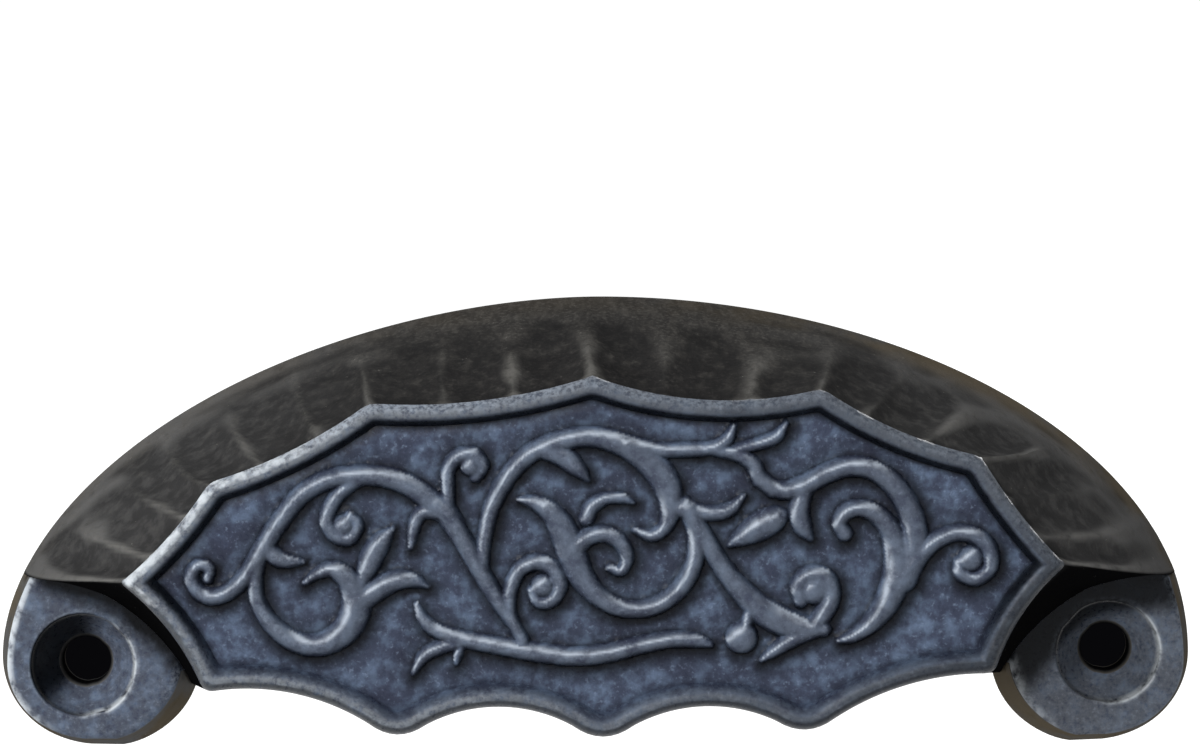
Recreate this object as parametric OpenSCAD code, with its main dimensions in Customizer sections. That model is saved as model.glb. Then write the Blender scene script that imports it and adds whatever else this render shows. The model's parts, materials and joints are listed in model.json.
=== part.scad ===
// Cup pull for a drawer front, cast in one piece: a hammered hood over the
// fingers, a scalloped front panel carved with a vine scroll, and a countersunk
// screw lug at each lower corner. Millimetres. X runs along the drawer front,
// Z is up, the drawer front is the plane y = 0 and the pull stands out towards
// -Y. The origin is on the drawer front, midway between the screw holes.

/* [Fixing] */
// Distance between the centres of the two screw holes
hole_spacing = 96; // [84:1:128]
// Diameter of each screw hole
hole_d = 4.5; // [3.5:0.1:5.5]
// Diameter of the countersink at the face of the lug
sink_d = 9.6; // [7.5:0.1:11]
// Depth of the straight recess above the countersink cone
sink_land = 0.6; // [0.2:0.1:1.2]
// Radius of each lug at its face
lug_r = 7; // [6:0.1:8]
// Extra radius of each lug where it meets the drawer front
lug_flare = 1.2; // [0.4:0.1:2]
// Thickness of each lug
lug_t = 5; // [4:0.1:6.5]
// How far the right lug sits below its hole, which was drilled a little high
right_drop = 0.8; // [0:0.1:1.2]

/* [Hood] */
// Height of the hood above the line of the screw holes
hood_h = 33.6; // [29:0.2:42]
// Distance from the drawer front to the crest of the rim
projection = 21; // [18:0.2:28]
// Thickness of the hood and of the panel
wall = 3; // [2.4:0.1:3.6]
// Fullness of the left half of the arch: 2 is a true ellipse, less is leaner
full_left = 1.85; // [1.7:0.05:2.1]
// Fullness of the right half of the arch
full_right = 1.95; // [1.7:0.05:2.1]
// Depth of the hammer marks
hammer = 0.6; // [0:0.05:0.9]

/* [Panel] */
// Width of the raised rim round the panel
rim_w = 2.1; // [1.6:0.1:2.6]
// Depth of the panel floor below the crest of the rim
recess = 1.3; // [0.8:0.1:1.8]
// Height of the thickest stems of the scroll above the panel floor
relief = 1.1; // [0.6:0.1:1.5]
// Thickness of the stems as a share of the widths they were set out with
stem_share = 1.35; // [1:0.05:1.5]

/* [Hidden] */

// The panel and scroll were set out for these sizes and stretch with the hood
kx = hole_spacing / 96;
kz = hood_h / 33.6;
half = hole_spacing / 2;
foot_r = lug_r + lug_flare;
arch_a = half + foot_r;
floor_y = projection - recess;
edge_y = projection - 1.2;
inner_y = floor_y - wall + 0.2;
bore_r = hole_d / 2;
cone_h = (sink_d - hole_d) / 2;
eps = 0.5;
// Lowest corner of each end wall on the drawer front, and how far round the arch the hood
// reaches on the left and on the right
foot = [half - 9.6, -3.4 * kz];
low_left = 16;
low_right = 12.5;

// Corners of the panel, clockwise from the left end as seen from the front
corners = [
    [-42.8, 10.1],
    [-34.5, 19.2],
    [-20, 26.2],
    [0.1, 28.4],
    [20.7, 27],
    [34.9, 20.7],
    [42.6, 10.6],
    [36, 0.7],
    [19, -5.1],
    [0.6, -5.6],
    [-18, -5.1],
    [-35.3, -0.1]
];
// How far each scallop dips below its chord, and the rounding of each corner
dips = [0.5, 0.7, 1, 1.6, 0.8, 0.4, 0.9, 1.7, 3.4, 3.6, 2.1, 0.9];
rounds = [0.8, 0.9, 0.9, 1.2, 0.9, 0.9, 0.8, 1, 3.2, 3.4, 3.2, 1];
// Directions on the wall outline that the corners of the panel look towards
spokes = [164, 143, 115.5, 90, 64.5, 37, 12.5];
ends = len(spokes) - 1;
sides = len(corners);

function lerp(a, b, t) = a + (b - a) * t;
function unit(v) = v / norm(v);
function clamp(v) = max(0, min(1, v));
function stretch(p) = [p[0] * kx, p[1] * kz];
function corner(k) = stretch(corners[(k + sides) % sides]);
function dip(k) = dips[(k + sides) % sides] * kz;

// Circle of a scallop: centre x, centre z, radius. The panel is on the right of the chord.
function circle_of(a, b, sag) = let(
    d = b - a,
    n = [d[1], -d[0]] / norm(d),
    r = (d * d / 4 + sag * sag) / (2 * sag),
    c = (a + b) / 2 - n * (r - sag)
) [c[0], c[1], r];
function scallop(k) = circle_of(corner(k), corner(k + 1), dip(k));

// Where two scallops cross once both are set in by d, near the point p
function crossing(f, g, d, p) = let(
    c = [f[0], f[1]],
    e = [g[0], g[1]] - c,
    m = norm(e),
    ra = f[2] + d,
    rb = g[2] + d,
    x = (ra * ra - rb * rb + m * m) / (2 * m),
    h = sqrt(max(0, ra * ra - x * x)),
    u = e / m,
    i = c + u * x + [-u[1], u[0]] * h,
    j = c + u * x - [-u[1], u[0]] * h
) norm(i - p) < norm(j - p) ? i : j;
function inset_corner(k, d) = crossing(scallop(k - 1), scallop(k), d, corner(k));

// Point at distance s along the arc of scallop k, set in by d
function on_arc(k, d, s) = let(
    f = scallop(k),
    c = [f[0], f[1]],
    a = inset_corner(k, d) - c,
    t = atan2(a[1], a[0]) + s / (f[2] + d) * 180 / PI
) c + (f[2] + d) * [cos(t), sin(t)];
function arc_len(k, d) = let(
    f = scallop(k),
    m = norm(inset_corner(k + 1, d) - inset_corner(k, d))
) 2 * (f[2] + d) * asin(m / 2 / (f[2] + d)) * PI / 180;

// Number of arc points on a side: hood scallops, end scallops, lower scallops
function count(k, fine) = k < ends ? fine : (k == ends || k == sides - 1 ? 4 : 6);
function blend(a, b, c, t) = a * (1 - t) * (1 - t) + b * 2 * t * (1 - t) + c * t * t;

// Outline of the panel set in by d, with the corners rounded by share q
function outline(d, q, fine) = [
    for (k = [0:sides - 1]) let(
        cut = rounds[k] * q,
        next = rounds[(k + 1) % sides] * q,
        n = count(k, fine),
        len = arc_len(k, d),
        before = on_arc((k + sides - 1) % sides, d, arc_len(k - 1, d) - cut),
        after = on_arc(k, d, cut),
        apex = inset_corner(k, d)
    ) each concat(
        [blend(before, apex, after, 0.5), blend(before, apex, after, 0.75)],
        [for (i = [0:n - 1]) on_arc(k, d, lerp(cut, len - next, i / (n - 1)))],
        [blend(
            on_arc(k, d, len - next),
            inset_corner(k + 1, d),
            on_arc((k + 1) % sides, d, next),
            0.25
        )]
    )
];

// Side number and fraction along it of every outline point
function stations(fine) = [
    for (k = [0:sides - 1]) for (i = [0:count(k, fine) + 2]) [k, i / (count(k, fine) + 3)]
];

// Outline against the drawer front: an arch over the top, scallops round the lugs
function arch(a, h, t) = let(n = cos(t) < 0 ? full_left : full_right) [
    sign(cos(t)) * a * pow(abs(cos(t)), 2 / n),
    h * pow(abs(sin(t)), 2 / n)
];
function bow(a, b, sag, f) = let(d = b - a) lerp(a, b, f) + [d[1], -d[0]] / norm(d) * sag * 4 * f * (1 - f);
function wall_point(k, f, a, h, foot, sag, more) = let(
    tip = arch(a, h, low_right + more),
    rest = arch(a, h, 180 - low_left - more),
    toe = [-foot[0], foot[1]]
) k < ends ? arch(a, h, lerp(turn(k, more), turn(k + 1, more), f)) :
    k == ends ? bow(tip, foot, sag, f) :
    k == sides - 1 ? bow(toe, rest, sag, f) :
    lerp(foot, toe, (k - ends - 1 + f) / (sides - ends - 2));
function turn(k, more) = k == 0 ? 180 - low_left - more : k == ends ? low_right + more : spokes[k];

// Hammer marks: two rows of hollows, three to a scallop, the outer row set between the inner ones
strength = rands(0.75, 1.2, 60, 11);
function hollow(u, t, i, j) = let(
    x = (u - (i + (j == 0 ? 0.5 : 0)) / 3) * 3,
    y = j == 0 ? (t - 0.86) / 0.5 : (t - 0.24) / 0.32
) strength[i + 20 * j] * (1 - 2.6 * x * x - y * y);
function mark(u, t) = max([
    0,
    for (j = [0:1]) for (i = [max(0, floor(u * 3) - 1):min(18, floor(u * 3) + 1)]) hollow(u, t, i, j)
]);
function fade(t) = clamp(t / 0.12) * clamp(0.4 + (1 - t) / 0.2);

// How far the hood has drawn in at share t of its depth
function drawn(t) = 0.7 * t + 0.3 * pow(t, 2.5);
function share(k, f, t) = k < ends ? drawn(t) : k > ends && k < sides - 1 ? t :
    lerp(drawn(t), t, clamp(3 * min(f, 1 - f) + (k == ends ? (f > 0.5 ? 1 : 0) : (f < 0.5 ? 1 : 0))));

function level(y, pts) = [for (p = pts) [p[0], -y, p[1]]];
function hood_loop(t, front, place) = [
    for (i = [0:len(front) - 1]) let(
        k = place[i][0],
        f = place[i][1],
        p = lerp(wall_point(k, f, arch_a, hood_h, foot, 2.2 * kz, 0), front[i], share(k, f, t)),
        n = unit([p[0] * 0.55, p[1] + 6])
    ) k < ends ? p - n * hammer * fade(t) * mark(k + f, t) : p
];
function cavity_loop(t, front, place) = [
    for (i = [0:len(front) - 1]) let(
        k = place[i][0],
        f = place[i][1],
        toe = foot - [0.9 * wall, -0.7 * wall],
        back = wall_point(k, f, arch_a - 1.4 * wall, hood_h - wall, toe, 2.4 * kz, 6.5),
        p = lerp(back, front[i], share(k, f, t))
    ) k > ends && k < sides - 1 ? [p[0], min(p[1], 0) - 14 * kz] : p
];

// Closed solid through a stack of loops with equal numbers of points
module skin(loops) {
    n = len(loops[0]);
    m = len(loops);
    polyhedron(
        points = [for (l = loops) each l],
        faces = concat(
            [[for (i = [0:n - 1]) n - 1 - i]],
            [for (j = [0:m - 2]) for (i = [0:n - 1]) each [
                [j * n + i, j * n + (i + 1) % n, (j + 1) * n + i],
                [j * n + (i + 1) % n, (j + 1) * n + (i + 1) % n, (j + 1) * n + i]
            ]],
            [[for (i = [0:n - 1]) (m - 1) * n + i]]
        )
    );
}

// Hood, panel and rim in one skin, from the drawer front out and over the rim
module body() {
    fine = 9;
    place = stations(fine);
    edge = outline(0, 1, fine);
    steps = 7;
    skin(concat(
        [for (j = [0:steps]) level(edge_y * j / steps, hood_loop(j / steps, edge, place))],
        [
            level(projection - 0.35, outline(rim_w * 0.16, 0.9, fine)),
            level(projection, outline(rim_w * 0.45, 0.7, fine)),
            level(projection - 0.3, outline(rim_w * 0.75, 0.5, fine)),
            level(floor_y, outline(rim_w * 1.05, 0.4, fine))
        ]
    ));
}

// Hollow for the fingers, open at the back and below
module cavity() {
    place = stations(3);
    edge = outline(wall * 0.9, 0.5, 3);
    steps = 5;
    skin(concat(
        [level(-1, cavity_loop(0, edge, place))],
        [for (j = [0:steps]) level(inner_y * j / steps, cavity_loop(j / steps, edge, place))]
    ));
}

// A flared round boss with a broken edge, standing on the drawer front
module boss() {
    rotate([90, 0, 0])
        rotate_extrude($fn = 64)
            polygon([
                [0, 0],
                [foot_r, 0],
                [lug_r + 0.2, lug_t - 0.6],
                [lug_r - 0.4, lug_t],
                [0, lug_t]
            ]);
}

// Screw lug: two bosses side by side, the inner one leading in to the end wall
module lug(side) {
    for (x = [half, half - 2.4])
        translate([side * x, 0, drop(side)])
            boss();
}

function drop(side) = side > 0 ? -right_drop : 0;
function turned(list, side) = side < 0 ? list : [for (i = [len(list) - 1:-1:0]) list[i]];

// Lower end of the hood at distance y from the drawer front
function lip(side, y) = lerp(
    arch(arch_a, hood_h, side < 0 ? 180 - low_left : low_right),
    corner(side < 0 ? 0 : ends),
    drawn(y / edge_y)
);

// Web that carries the outline of the hood down into the lug
module cheek(side) {
    skin([for (y = [0, lug_t]) let(in = lug_flare * y / lug_t) level(y, turned(concat(
        [[side * (half - 6), 9 * kz], [side * (half - 5), -2], [side * (arch_a - in), drop(side)]],
        [for (i = [1:4]) let(t = i / 5)
            arch(arch_a - in, hood_h - in, side < 0 ? 180 - low_left * t : low_right * t)],
        [lip(side, y) + [0, 0.3]]
    ), side))]);
}

module screw_hole(side) {
    translate([side * half, 0, 0])
        rotate([90, 0, 0]) {
            translate([0, 0, -eps])
                cylinder(h = lug_t + 2 * eps, r = bore_r, $fn = 48);
            translate([0, 0, lug_t - sink_land - cone_h])
                cylinder(h = cone_h, r1 = bore_r, r2 = sink_d / 2, $fn = 48);
            translate([0, 0, lug_t - sink_land])
                cylinder(h = sink_land + 8, r = sink_d / 2, $fn = 48);
        }
}

// Smooth curve through points [x, z, width]
function cubic(a, b, c, d, t) = 0.5 * (2 * b + (c - a) * t + (2 * a - 5 * b + 4 * c - d) * t * t
    + (3 * b - a - 3 * c + d) * t * t * t);
function heading(p, i) = let(d = p[i + 1] - p[i]) atan2(d[1], d[0]);
function bend(p, i) = i < 0 || i > len(p) - 3 ? 0 :
    abs((heading(p, i + 1) - heading(p, i) + 540) % 360 - 180);
function curve(p) = let(m = len(p) - 1) concat(
    [for (i = [0:m - 1]) let(n = bend(p, i - 1) + bend(p, i) > 50 ? 2 : 1) for (j = [0:n - 1])
        cubic(p[max(i - 1, 0)], p[i], p[i + 1], p[min(i + 2, m)], j / n)],
    [p[m]]
);

// A stem of half-round section along the curve, thinner where it is narrower
module stem(points) {
    c = curve([for (p = points) [p[0] * kx, p[1] * kz, p[2] * stem_share]]);
    m = len(c);
    spread = [-0.5, -0.3, 0, 0.3, 0.5];
    lift = [0, 0.72, 1, 0.72, 0];
    pts = [for (i = [0:m - 1]) let(
        d = c[min(i + 1, m - 1)] - c[max(i - 1, 0)],
        n = unit([d[1], -d[0]]),
        w = c[i][2],
        h = min(relief, relief * 0.72 * w)
    ) for (j = [0:4]) [
        c[i][0] + n[0] * w * spread[j],
        -(floor_y + (lift[j] == 0 ? -0.5 : h * lift[j])),
        c[i][1] + n[1] * w * spread[j]
    ]];
    polyhedron(
        points = pts,
        faces = concat(
            [[0, 1, 2, 3, 4]],
            [for (i = [0:m - 2]) for (j = [0:4]) each [
                [i * 5 + j, (i + 1) * 5 + j, i * 5 + (j + 1) % 5],
                [i * 5 + (j + 1) % 5, (i + 1) * 5 + j, (i + 1) * 5 + (j + 1) % 5]
            ]],
            [[for (j = [0:4]) (m - 1) * 5 + 4 - j]]
        )
    );
}

// A round boss, a ball let into the panel floor
module knob(x, z, r) {
    h = min(relief, r);
    ball = (r * r + h * h) / (2 * h);
    translate([x * kx, -(floor_y + h - ball), z * kz])
        sphere(r = ball, $fn = 24);
}

// Stems of the vine, each a row of [x, z, width], set out for the standard panel
// Upper left stem with its end curl, and the branch down to the lower stem
main_left = [
    [-34.7, 10.2, 0.9], [-34.6, 11.2, 1.1], [-35.6, 11.5, 1.2], [-36.2, 10.4, 1.3], [-35.6, 9.1, 1.4],
    [-34.2, 8.6, 1.5], [-32.4, 9.4, 1.5], [-30.8, 11.2, 1.6], [-29.6, 13.2, 1.7], [-28, 15.6, 1.7],
    [-25.9, 18, 1.7], [-23, 19.3, 1.7], [-19.5, 19.4, 1.8], [-16.5, 18.5, 1.9], [-13.2, 16, 2]
];
branch_left = [[-14, 16.7, 1.8], [-13.2, 16, 2], [-11.7, 13.4, 1.7], [-10.2, 10.6, 1.6], [-8.8, 8.2, 1.5],
    [-6.4, 4.4, 1]];
curl_node = [[-13, 16.2, 1.2], [-13, 18.5, 1.2], [-12.9, 20, 1.3], [-12, 21.1, 1.4], [-10.7, 21.2, 1.4],
    [-9.9, 20.2, 1.3], [-10.5, 19.2, 1.1]];
hook_node = [[-13, 16, 1.6], [-15.2, 16.1, 1.4], [-16, 15, 1.2], [-16.4, 12.9, 0.6]];
curl_upper = [[-20.5, 19.2, 1.2], [-21.8, 18.6, 1.3], [-23.2, 17.3, 1.4], [-23.9, 15.6, 1.4],
    [-23.3, 14.2, 1.4], [-22, 13.8, 1.4], [-21.2, 14.9, 1.2], [-21.9, 15.8, 1]];

// Large lower left scroll with its two leaves and thorn
scroll_left = [
    [-29.6, 13, 1.2], [-30.4, 10.5, 1.3], [-30.3, 8.2, 1.4], [-29.2, 6.2, 1.6], [-27.3, 4.6, 1.8],
    [-25.1, 4.1, 2], [-23.1, 4.9, 2.3], [-21.8, 6.4, 2.6], [-21.4, 8.2, 2.5], [-22.1, 10, 2],
    [-23.5, 11, 1.5], [-24.9, 10.6, 1.1], [-26, 9.8, 0.6]
];
leaf_low = [[-21.4, 7.8, 2], [-19.4, 9.2, 2], [-17.8, 9.9, 1.8], [-16.2, 9.9, 1.3], [-15, 9.3, 0.5]];
bud_left = [[-20.9, 9.6, 1], [-20.1, 11.7, 2], [-19.2, 13.3, 1.8], [-18, 14.6, 0.5]];
thorn = [[-29.6, 13.4, 1.4], [-28.6, 12.2, 1.6], [-27.6, 11.8, 1.3], [-26.1, 11.7, 0.5]];

// Arch over the middle, its leaf, and the tendrils that run to the right
arch_mid = [
    [-9.6, 9, 1], [-10, 11.5, 1.2], [-9.7, 14, 1.3], [-9, 16.7, 1.5], [-7.6, 19.2, 1.6], [-5.6, 21.2, 1.7],
    [-3, 22.3, 1.8], [-0.3, 22.7, 1.8], [2.3, 22.1, 2], [4.6, 20.8, 2.3], [6.3, 18.9, 2.5], [7, 16.7, 2.1],
    [6.6, 14.7, 1.4], [5.3, 13.7, 1.2], [3.7, 14.2, 0.6]
];
leaf_arch = [[-4.8, 21.6, 1.4], [-2.9, 21.1, 1.9], [-1.5, 20, 1.6], [-0.4, 18.8, 0.5]];
tendril = [[3.2, 22, 1.6], [5.8, 21.4, 1.4], [8, 21.4, 1.3], [10.5, 21.5, 1.3], [12, 22.2, 1.2],
    [12.8, 23.6, 0.6]];
tendril_down = [[10.4, 21.5, 1.2], [13, 20.9, 1.3], [14.4, 20, 1.4], [15, 18.8, 1.5], [16.2, 17.7, 1.5]];
hook_right = [[12.7, 21.3, 1], [15, 21.9, 1.2], [16.5, 22.5, 1.2], [17.4, 23.6, 0.6]];

// Sweep on the right, the crook under it and the curl at the right end
sweep_right = [
    [15, 18.5, 1.3], [17, 17.6, 1.6], [19, 18.1, 1.8], [21, 19.1, 1.8], [23, 19.7, 1.8], [25, 19.4, 1.8],
    [26.8, 18.2, 1.9], [28.1, 16.4, 2], [28.8, 14.3, 2.2], [28.7, 12, 2.6], [27.8, 9.6, 2.6]
];
leaf_sweep = [[19, 18, 1.6], [18.5, 15.8, 1.8], [18.8, 14.3, 1.6], [19.5, 13.2, 0.6]];
crook = [
    [22.6, 13.6, 1.4], [22.1, 14.6, 1.4], [22.7, 15.6, 1.5], [24, 15.9, 1.6], [25.5, 15.3, 1.7],
    [26.7, 13.8, 1.9], [27.3, 11.8, 2.3], [27.2, 9.6, 2.5], [26.3, 7.3, 2.2], [24.8, 5.4, 1.7],
    [23.2, 4.3, 1.2], [22, 3.9, 0.6]
];
curl_right = [
    [27.6, 9, 1.8], [29, 11.2, 1.8], [30.5, 12.7, 1.6], [32.3, 13.5, 1.5], [34.2, 13.3, 1.5],
    [35.5, 12.1, 1.5], [35.6, 10.4, 1.5], [34.3, 9.4, 1.4], [33, 9.9, 1.3], [32.8, 11, 1]
];

// Middle scroll with its spiral, leaf and the long bottom stem
scroll_mid = [
    [-6.6, 17.1, 0.6], [-5.2, 16.8, 1.3], [-3.7, 15.8, 1.9], [-2.6, 14, 2.4], [-1.9, 11.9, 2.5],
    [-1.1, 10, 2.2], [0.4, 8.2, 1.8], [2.5, 7.1, 1.6], [4.8, 7.1, 1.6], [6.9, 8.1, 1.6], [8.4, 9.8, 1.6],
    [9.2, 12, 1.6], [9.2, 14.2, 1.7], [8.6, 16, 1.8]
];
spiral_mid = [[-1.8, 12.6, 1.8], [-0.3, 13.7, 1.6], [1.2, 13.8, 1.5], [2.5, 13, 1.4], [3, 11.6, 1.2],
    [2.4, 10.5, 1], [1.4, 10.8, 0.8]];
leaf_mid = [[-0.6, 15.3, 1.4], [-0.1, 16.4, 1.4], [1.2, 17.1, 1.2], [2.6, 17.1, 1], [3.6, 16.7, 0.5]];
spiral_low = [[-6.5, 4.2, 1.2], [-7.6, 6.8, 1.2], [-7.5, 9, 1.3], [-6.7, 10.7, 1.4], [-5.2, 11.4, 1.5],
    [-3.7, 10.8, 1.5], [-3.1, 9.3, 1.5], [-3.8, 8, 1.4], [-5, 7.8, 1.2], [-5.6, 8.9, 0.9]];
stem_low = [[-16, 7.7, 0.6], [-15.3, 6.2, 1.2], [-14, 5.2, 1.4], [-11.5, 4.4, 1.5], [-8.5, 3.8, 1.6],
    [-5.3, 3.2, 1.7], [-2, 2.8, 1.7], [1, 3, 1.7], [4, 3.7, 1.6], [6.8, 4.2, 1.5], [9, 4.1, 1.3],
    [10.4, 3.7, 0.7]];
leaf_stem = [[-11.4, 4.3, 1], [-13.8, 3.8, 1.3], [-15.4, 3, 1.2], [-16.4, 1.4, 0.5]];
nub = [[-12, 4, 0.9], [-12.3, 3.2, 0.9], [-12.5, 2.3, 0.5]];

// Right of the middle: falling stem, leaves, almond leaf and the two knobs with their tails
fall = [[8.2, 16.4, 1.6], [9.9, 13.6, 1.7], [11.2, 11.3, 1.7], [12.8, 9.1, 1.9], [14.6, 7.2, 2.3],
    [16.3, 6, 2.5], [18.2, 5.3, 2.2], [20.6, 5, 1.4]];
leaf_fall = [[7.8, 16.1, 1.6], [10.5, 15.6, 1.4], [12.3, 16, 1.3], [13.5, 17.1, 0.6]];
almond = [[12.2, 12.7, 0.5], [13.6, 13.6, 1.8], [15, 14.4, 2.5], [16.2, 15, 2.2], [17, 15.4, 1.1]];
knob_tail = [[18.6, 7.6, 1.3], [18.4, 9.1, 1.5], [19.5, 10, 1.6], [20.9, 9.5, 1.7], [21.3, 8, 1.7],
    [20.6, 6.4, 1.7], [19.5, 5.2, 1.4]];
ragged = [[20.6, 5, 1.2], [18.2, 4.3, 1.5], [16.2, 3.1, 1.2], [15, 2.2, 0.5]];
link = [[14.2, 7.8, 1], [13.9, 6.4, 1.1], [13.5, 5, 1.2]];

vine = [
    main_left, branch_left, curl_node, hook_node, curl_upper, scroll_left, leaf_low, bud_left, thorn,
    arch_mid, leaf_arch, tendril, tendril_down, hook_right, sweep_right, leaf_sweep, crook, curl_right,
    scroll_mid, spiral_mid, leaf_mid, spiral_low, stem_low, leaf_stem, nub, fall, leaf_fall, almond,
    knob_tail, ragged, link
];
// Knobs in the eyes of the curls: [x, z, radius]
knobs = [
    [-10.9, 20.2, 1], [-22.4, 15, 1], [33.9, 11.2, 1.2],
    [-4.6, 9.3, 1.1], [19.8, 8.6, 1.4], [13.2, 4.3, 1.5]
];

module scroll() {
    for (p = vine) stem(p);
    for (k = knobs) knob(k[0], k[1], k[2]);
}

// The casting before drilling, brought to its full width over the lugs
module casting() {
    resize([2 * arch_a, projection, 0])
        difference() {
            union() {
                body();
                scroll();
                cheek(-1);
                cheek(1);
            }
            cavity();
        }
}

module cup_pull() {
    color("DimGray")
    difference() {
        union() {
            casting();
            lug(-1);
            lug(1);
        }
        screw_hole(-1);
        screw_hole(1);
    }
}

cup_pull();
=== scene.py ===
"""Looks of a cast-iron cup pull: its carved and hammered surface, finish and studio.

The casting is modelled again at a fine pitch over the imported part, from the same corners, scallops and
vine, and stands for its node. Shapes are worked out in millimetres and turned to metres in the meshes.
"""
import json
import logging
import math
from dataclasses import dataclass, field
from enum import Enum
from functools import cached_property

import bpy
import numpy as np
from mathutils import Matrix, Vector
from mathutils.geometry import delaunay_2d_cdt


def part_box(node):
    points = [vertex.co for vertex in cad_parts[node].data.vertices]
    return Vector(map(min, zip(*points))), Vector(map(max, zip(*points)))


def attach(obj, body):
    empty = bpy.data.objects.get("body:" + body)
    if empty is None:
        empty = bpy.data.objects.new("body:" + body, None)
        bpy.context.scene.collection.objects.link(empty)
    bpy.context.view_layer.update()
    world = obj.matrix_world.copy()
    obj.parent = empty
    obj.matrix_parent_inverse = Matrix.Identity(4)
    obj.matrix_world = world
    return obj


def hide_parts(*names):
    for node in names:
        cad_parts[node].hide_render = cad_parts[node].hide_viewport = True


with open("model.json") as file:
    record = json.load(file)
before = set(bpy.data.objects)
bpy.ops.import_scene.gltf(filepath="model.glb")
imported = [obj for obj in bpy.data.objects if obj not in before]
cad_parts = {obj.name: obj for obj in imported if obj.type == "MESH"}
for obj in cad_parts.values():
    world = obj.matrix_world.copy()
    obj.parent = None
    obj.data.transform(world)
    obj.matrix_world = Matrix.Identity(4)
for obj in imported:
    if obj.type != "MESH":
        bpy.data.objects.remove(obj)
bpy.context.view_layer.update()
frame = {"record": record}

MM = 0.001
NODE = "cup_pull"
PHOTO_WIDTH_PX = 1200
MARK_LAYER = "mark_depth"
ZONE_LAYER = "zone"
# Height of the hood in mm at which the heights of the other features are given
DRAWN_HEIGHT = 33.6
# Distance in mm that stands for far away, and how many places are measured at once
FAR = 9.0
BLOCK = 4000
# Odd numbers that scatter the cells of the noise
CELL_PRIMES = np.array([73856093, 19349663, 83492791])
SEED_PRIME, MIX_PRIME = 2654435761, 1274126177

Array = np.ndarray
log = logging.getLogger("cup_pull")


class Cut(Enum):
    """How one closed mesh is combined with another."""

    JOIN = "UNION"
    REMOVE = "DIFFERENCE"


class Side(Enum):
    """Left or right half of the pull, as seen from the front."""

    LEFT = -1
    RIGHT = 1


class Zone(Enum):
    """What a point of the casting belongs to; the lugs and the hollow are the others."""

    OTHER = 0
    HOOD = 1
    PANEL = 2


def to_linear(hex_colour: str) -> tuple[float, float, float, float]:
    """Turns an sRGB hex value to linear light.

    Args:
        hex_colour: colour such as "#4a505c".

    Returns:
        Linear red, green, blue and an alpha of 1.
    """
    parts = [int(hex_colour[i:i + 2], 16) / 255 for i in (1, 3, 5)]
    linear = [c / 12.92 if c <= 0.04045 else ((c + 0.055) / 1.055) ** 2.4 for c in parts]
    return (*linear, 1.0)


def add_node(tree: bpy.types.NodeTree, kind: str, links: dict | None = None, **settings) -> bpy.types.Node:
    """Adds a shader node with its settings and links.

    Args:
        tree: node tree that gets the node.
        kind: Blender's type name of the node.
        links: input name or number to the output socket or the value that feeds it.
        settings: attributes of the node to set.

    Returns:
        The new node.
    """
    node = tree.nodes.new(kind)
    for name, value in settings.items():
        setattr(node, name, value)
    for name, source in (links or {}).items():
        if isinstance(source, bpy.types.NodeSocket):
            tree.links.new(source, node.inputs[name])
        else:
            node.inputs[name].default_value = source
    return node


def lerp(a: Array, b: Array, t: Array) -> Array:
    """Mixes a and b by the share t."""
    return a + (b - a) * t


def smoothstep(low: float, high: float, value: Array) -> Array:
    """Rises smoothly from 0 at low to 1 at high."""
    t = np.clip((value - low) / (high - low), 0, 1)
    return t * t * (3 - 2 * t)


def value_noise(points: Array, grain: float, seed: int) -> Array:
    """Smooth random field over points.

    Args:
        points: n by 2 or n by 3 places in mm.
        grain: distance in mm between neighbouring lumps.
        seed: picks one field.

    Returns:
        n values between -1 and 1.
    """
    cell = points / grain + 0.37 * seed
    base = np.floor(cell).astype(np.int64)
    part = cell - base
    part = part * part * (3 - 2 * part)
    dims = points.shape[1]
    total = np.zeros(len(points))
    for corner in range(2 ** dims):
        step = np.array([(corner >> d) & 1 for d in range(dims)])
        key = ((base + step) * CELL_PRIMES[:dims]).sum(1) + seed * SEED_PRIME
        key = (key ^ (key >> 13)) * MIX_PRIME
        value = ((key ^ (key >> 16)) & 0xFFFF) / 32767.5 - 1
        weight = np.where(step, part, 1 - part).prod(1)
        total += weight * value
    return total


@dataclass(frozen=True)
class Lumps:
    """Unevenness of a cast surface: depth and spacing of its lumps in mm, and the seed that picks it."""

    depth: float
    spacing: float
    seed: int


def uneven(points: Array, layers: tuple[Lumps, ...]) -> Array:
    """Height of an uneven surface.

    Args:
        points: n by 2 places in mm.
        layers: lumps that are added up.

    Returns:
        n heights in mm, about 0.
    """
    return sum(layer.depth * value_noise(points, layer.spacing, layer.seed) for layer in layers)


def nearest(places: Array, line: Array) -> Array:
    """Distance of each place from the nearest point of a line.

    Args:
        places: n by 2 places in mm.
        line: m by 2 points in mm.

    Returns:
        n distances in mm.
    """
    gap = np.empty(len(places))
    for start in range(0, len(places), BLOCK):
        block = places[start:start + BLOCK]
        gap[start:start + BLOCK] = np.linalg.norm(block[:, None] - line[None], axis=2).min(1)
    return gap


def at_depth(flat: Array, depth: Array | float) -> Array:
    """Places at a depth in mm from the drawer front, from their places across and up."""
    return np.stack([flat[:, 0], -np.broadcast_to(depth, len(flat)), flat[:, 1]], -1)


def add_object(name: str, points: Array, faces: list) -> bpy.types.Object:
    """Makes a mesh object from points in mm.

    Args:
        name: name of the object and its mesh.
        points: n by 3 places in mm, in the frame of the part.
        faces: vertex numbers of each face.

    Returns:
        The new object, linked to the scene.
    """
    mesh = bpy.data.meshes.new(name)
    mesh.from_pydata((points * MM).tolist(), [], faces)
    mesh.update()
    obj = bpy.data.objects.new(name, mesh)
    bpy.context.scene.collection.objects.link(obj)
    return obj


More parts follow.
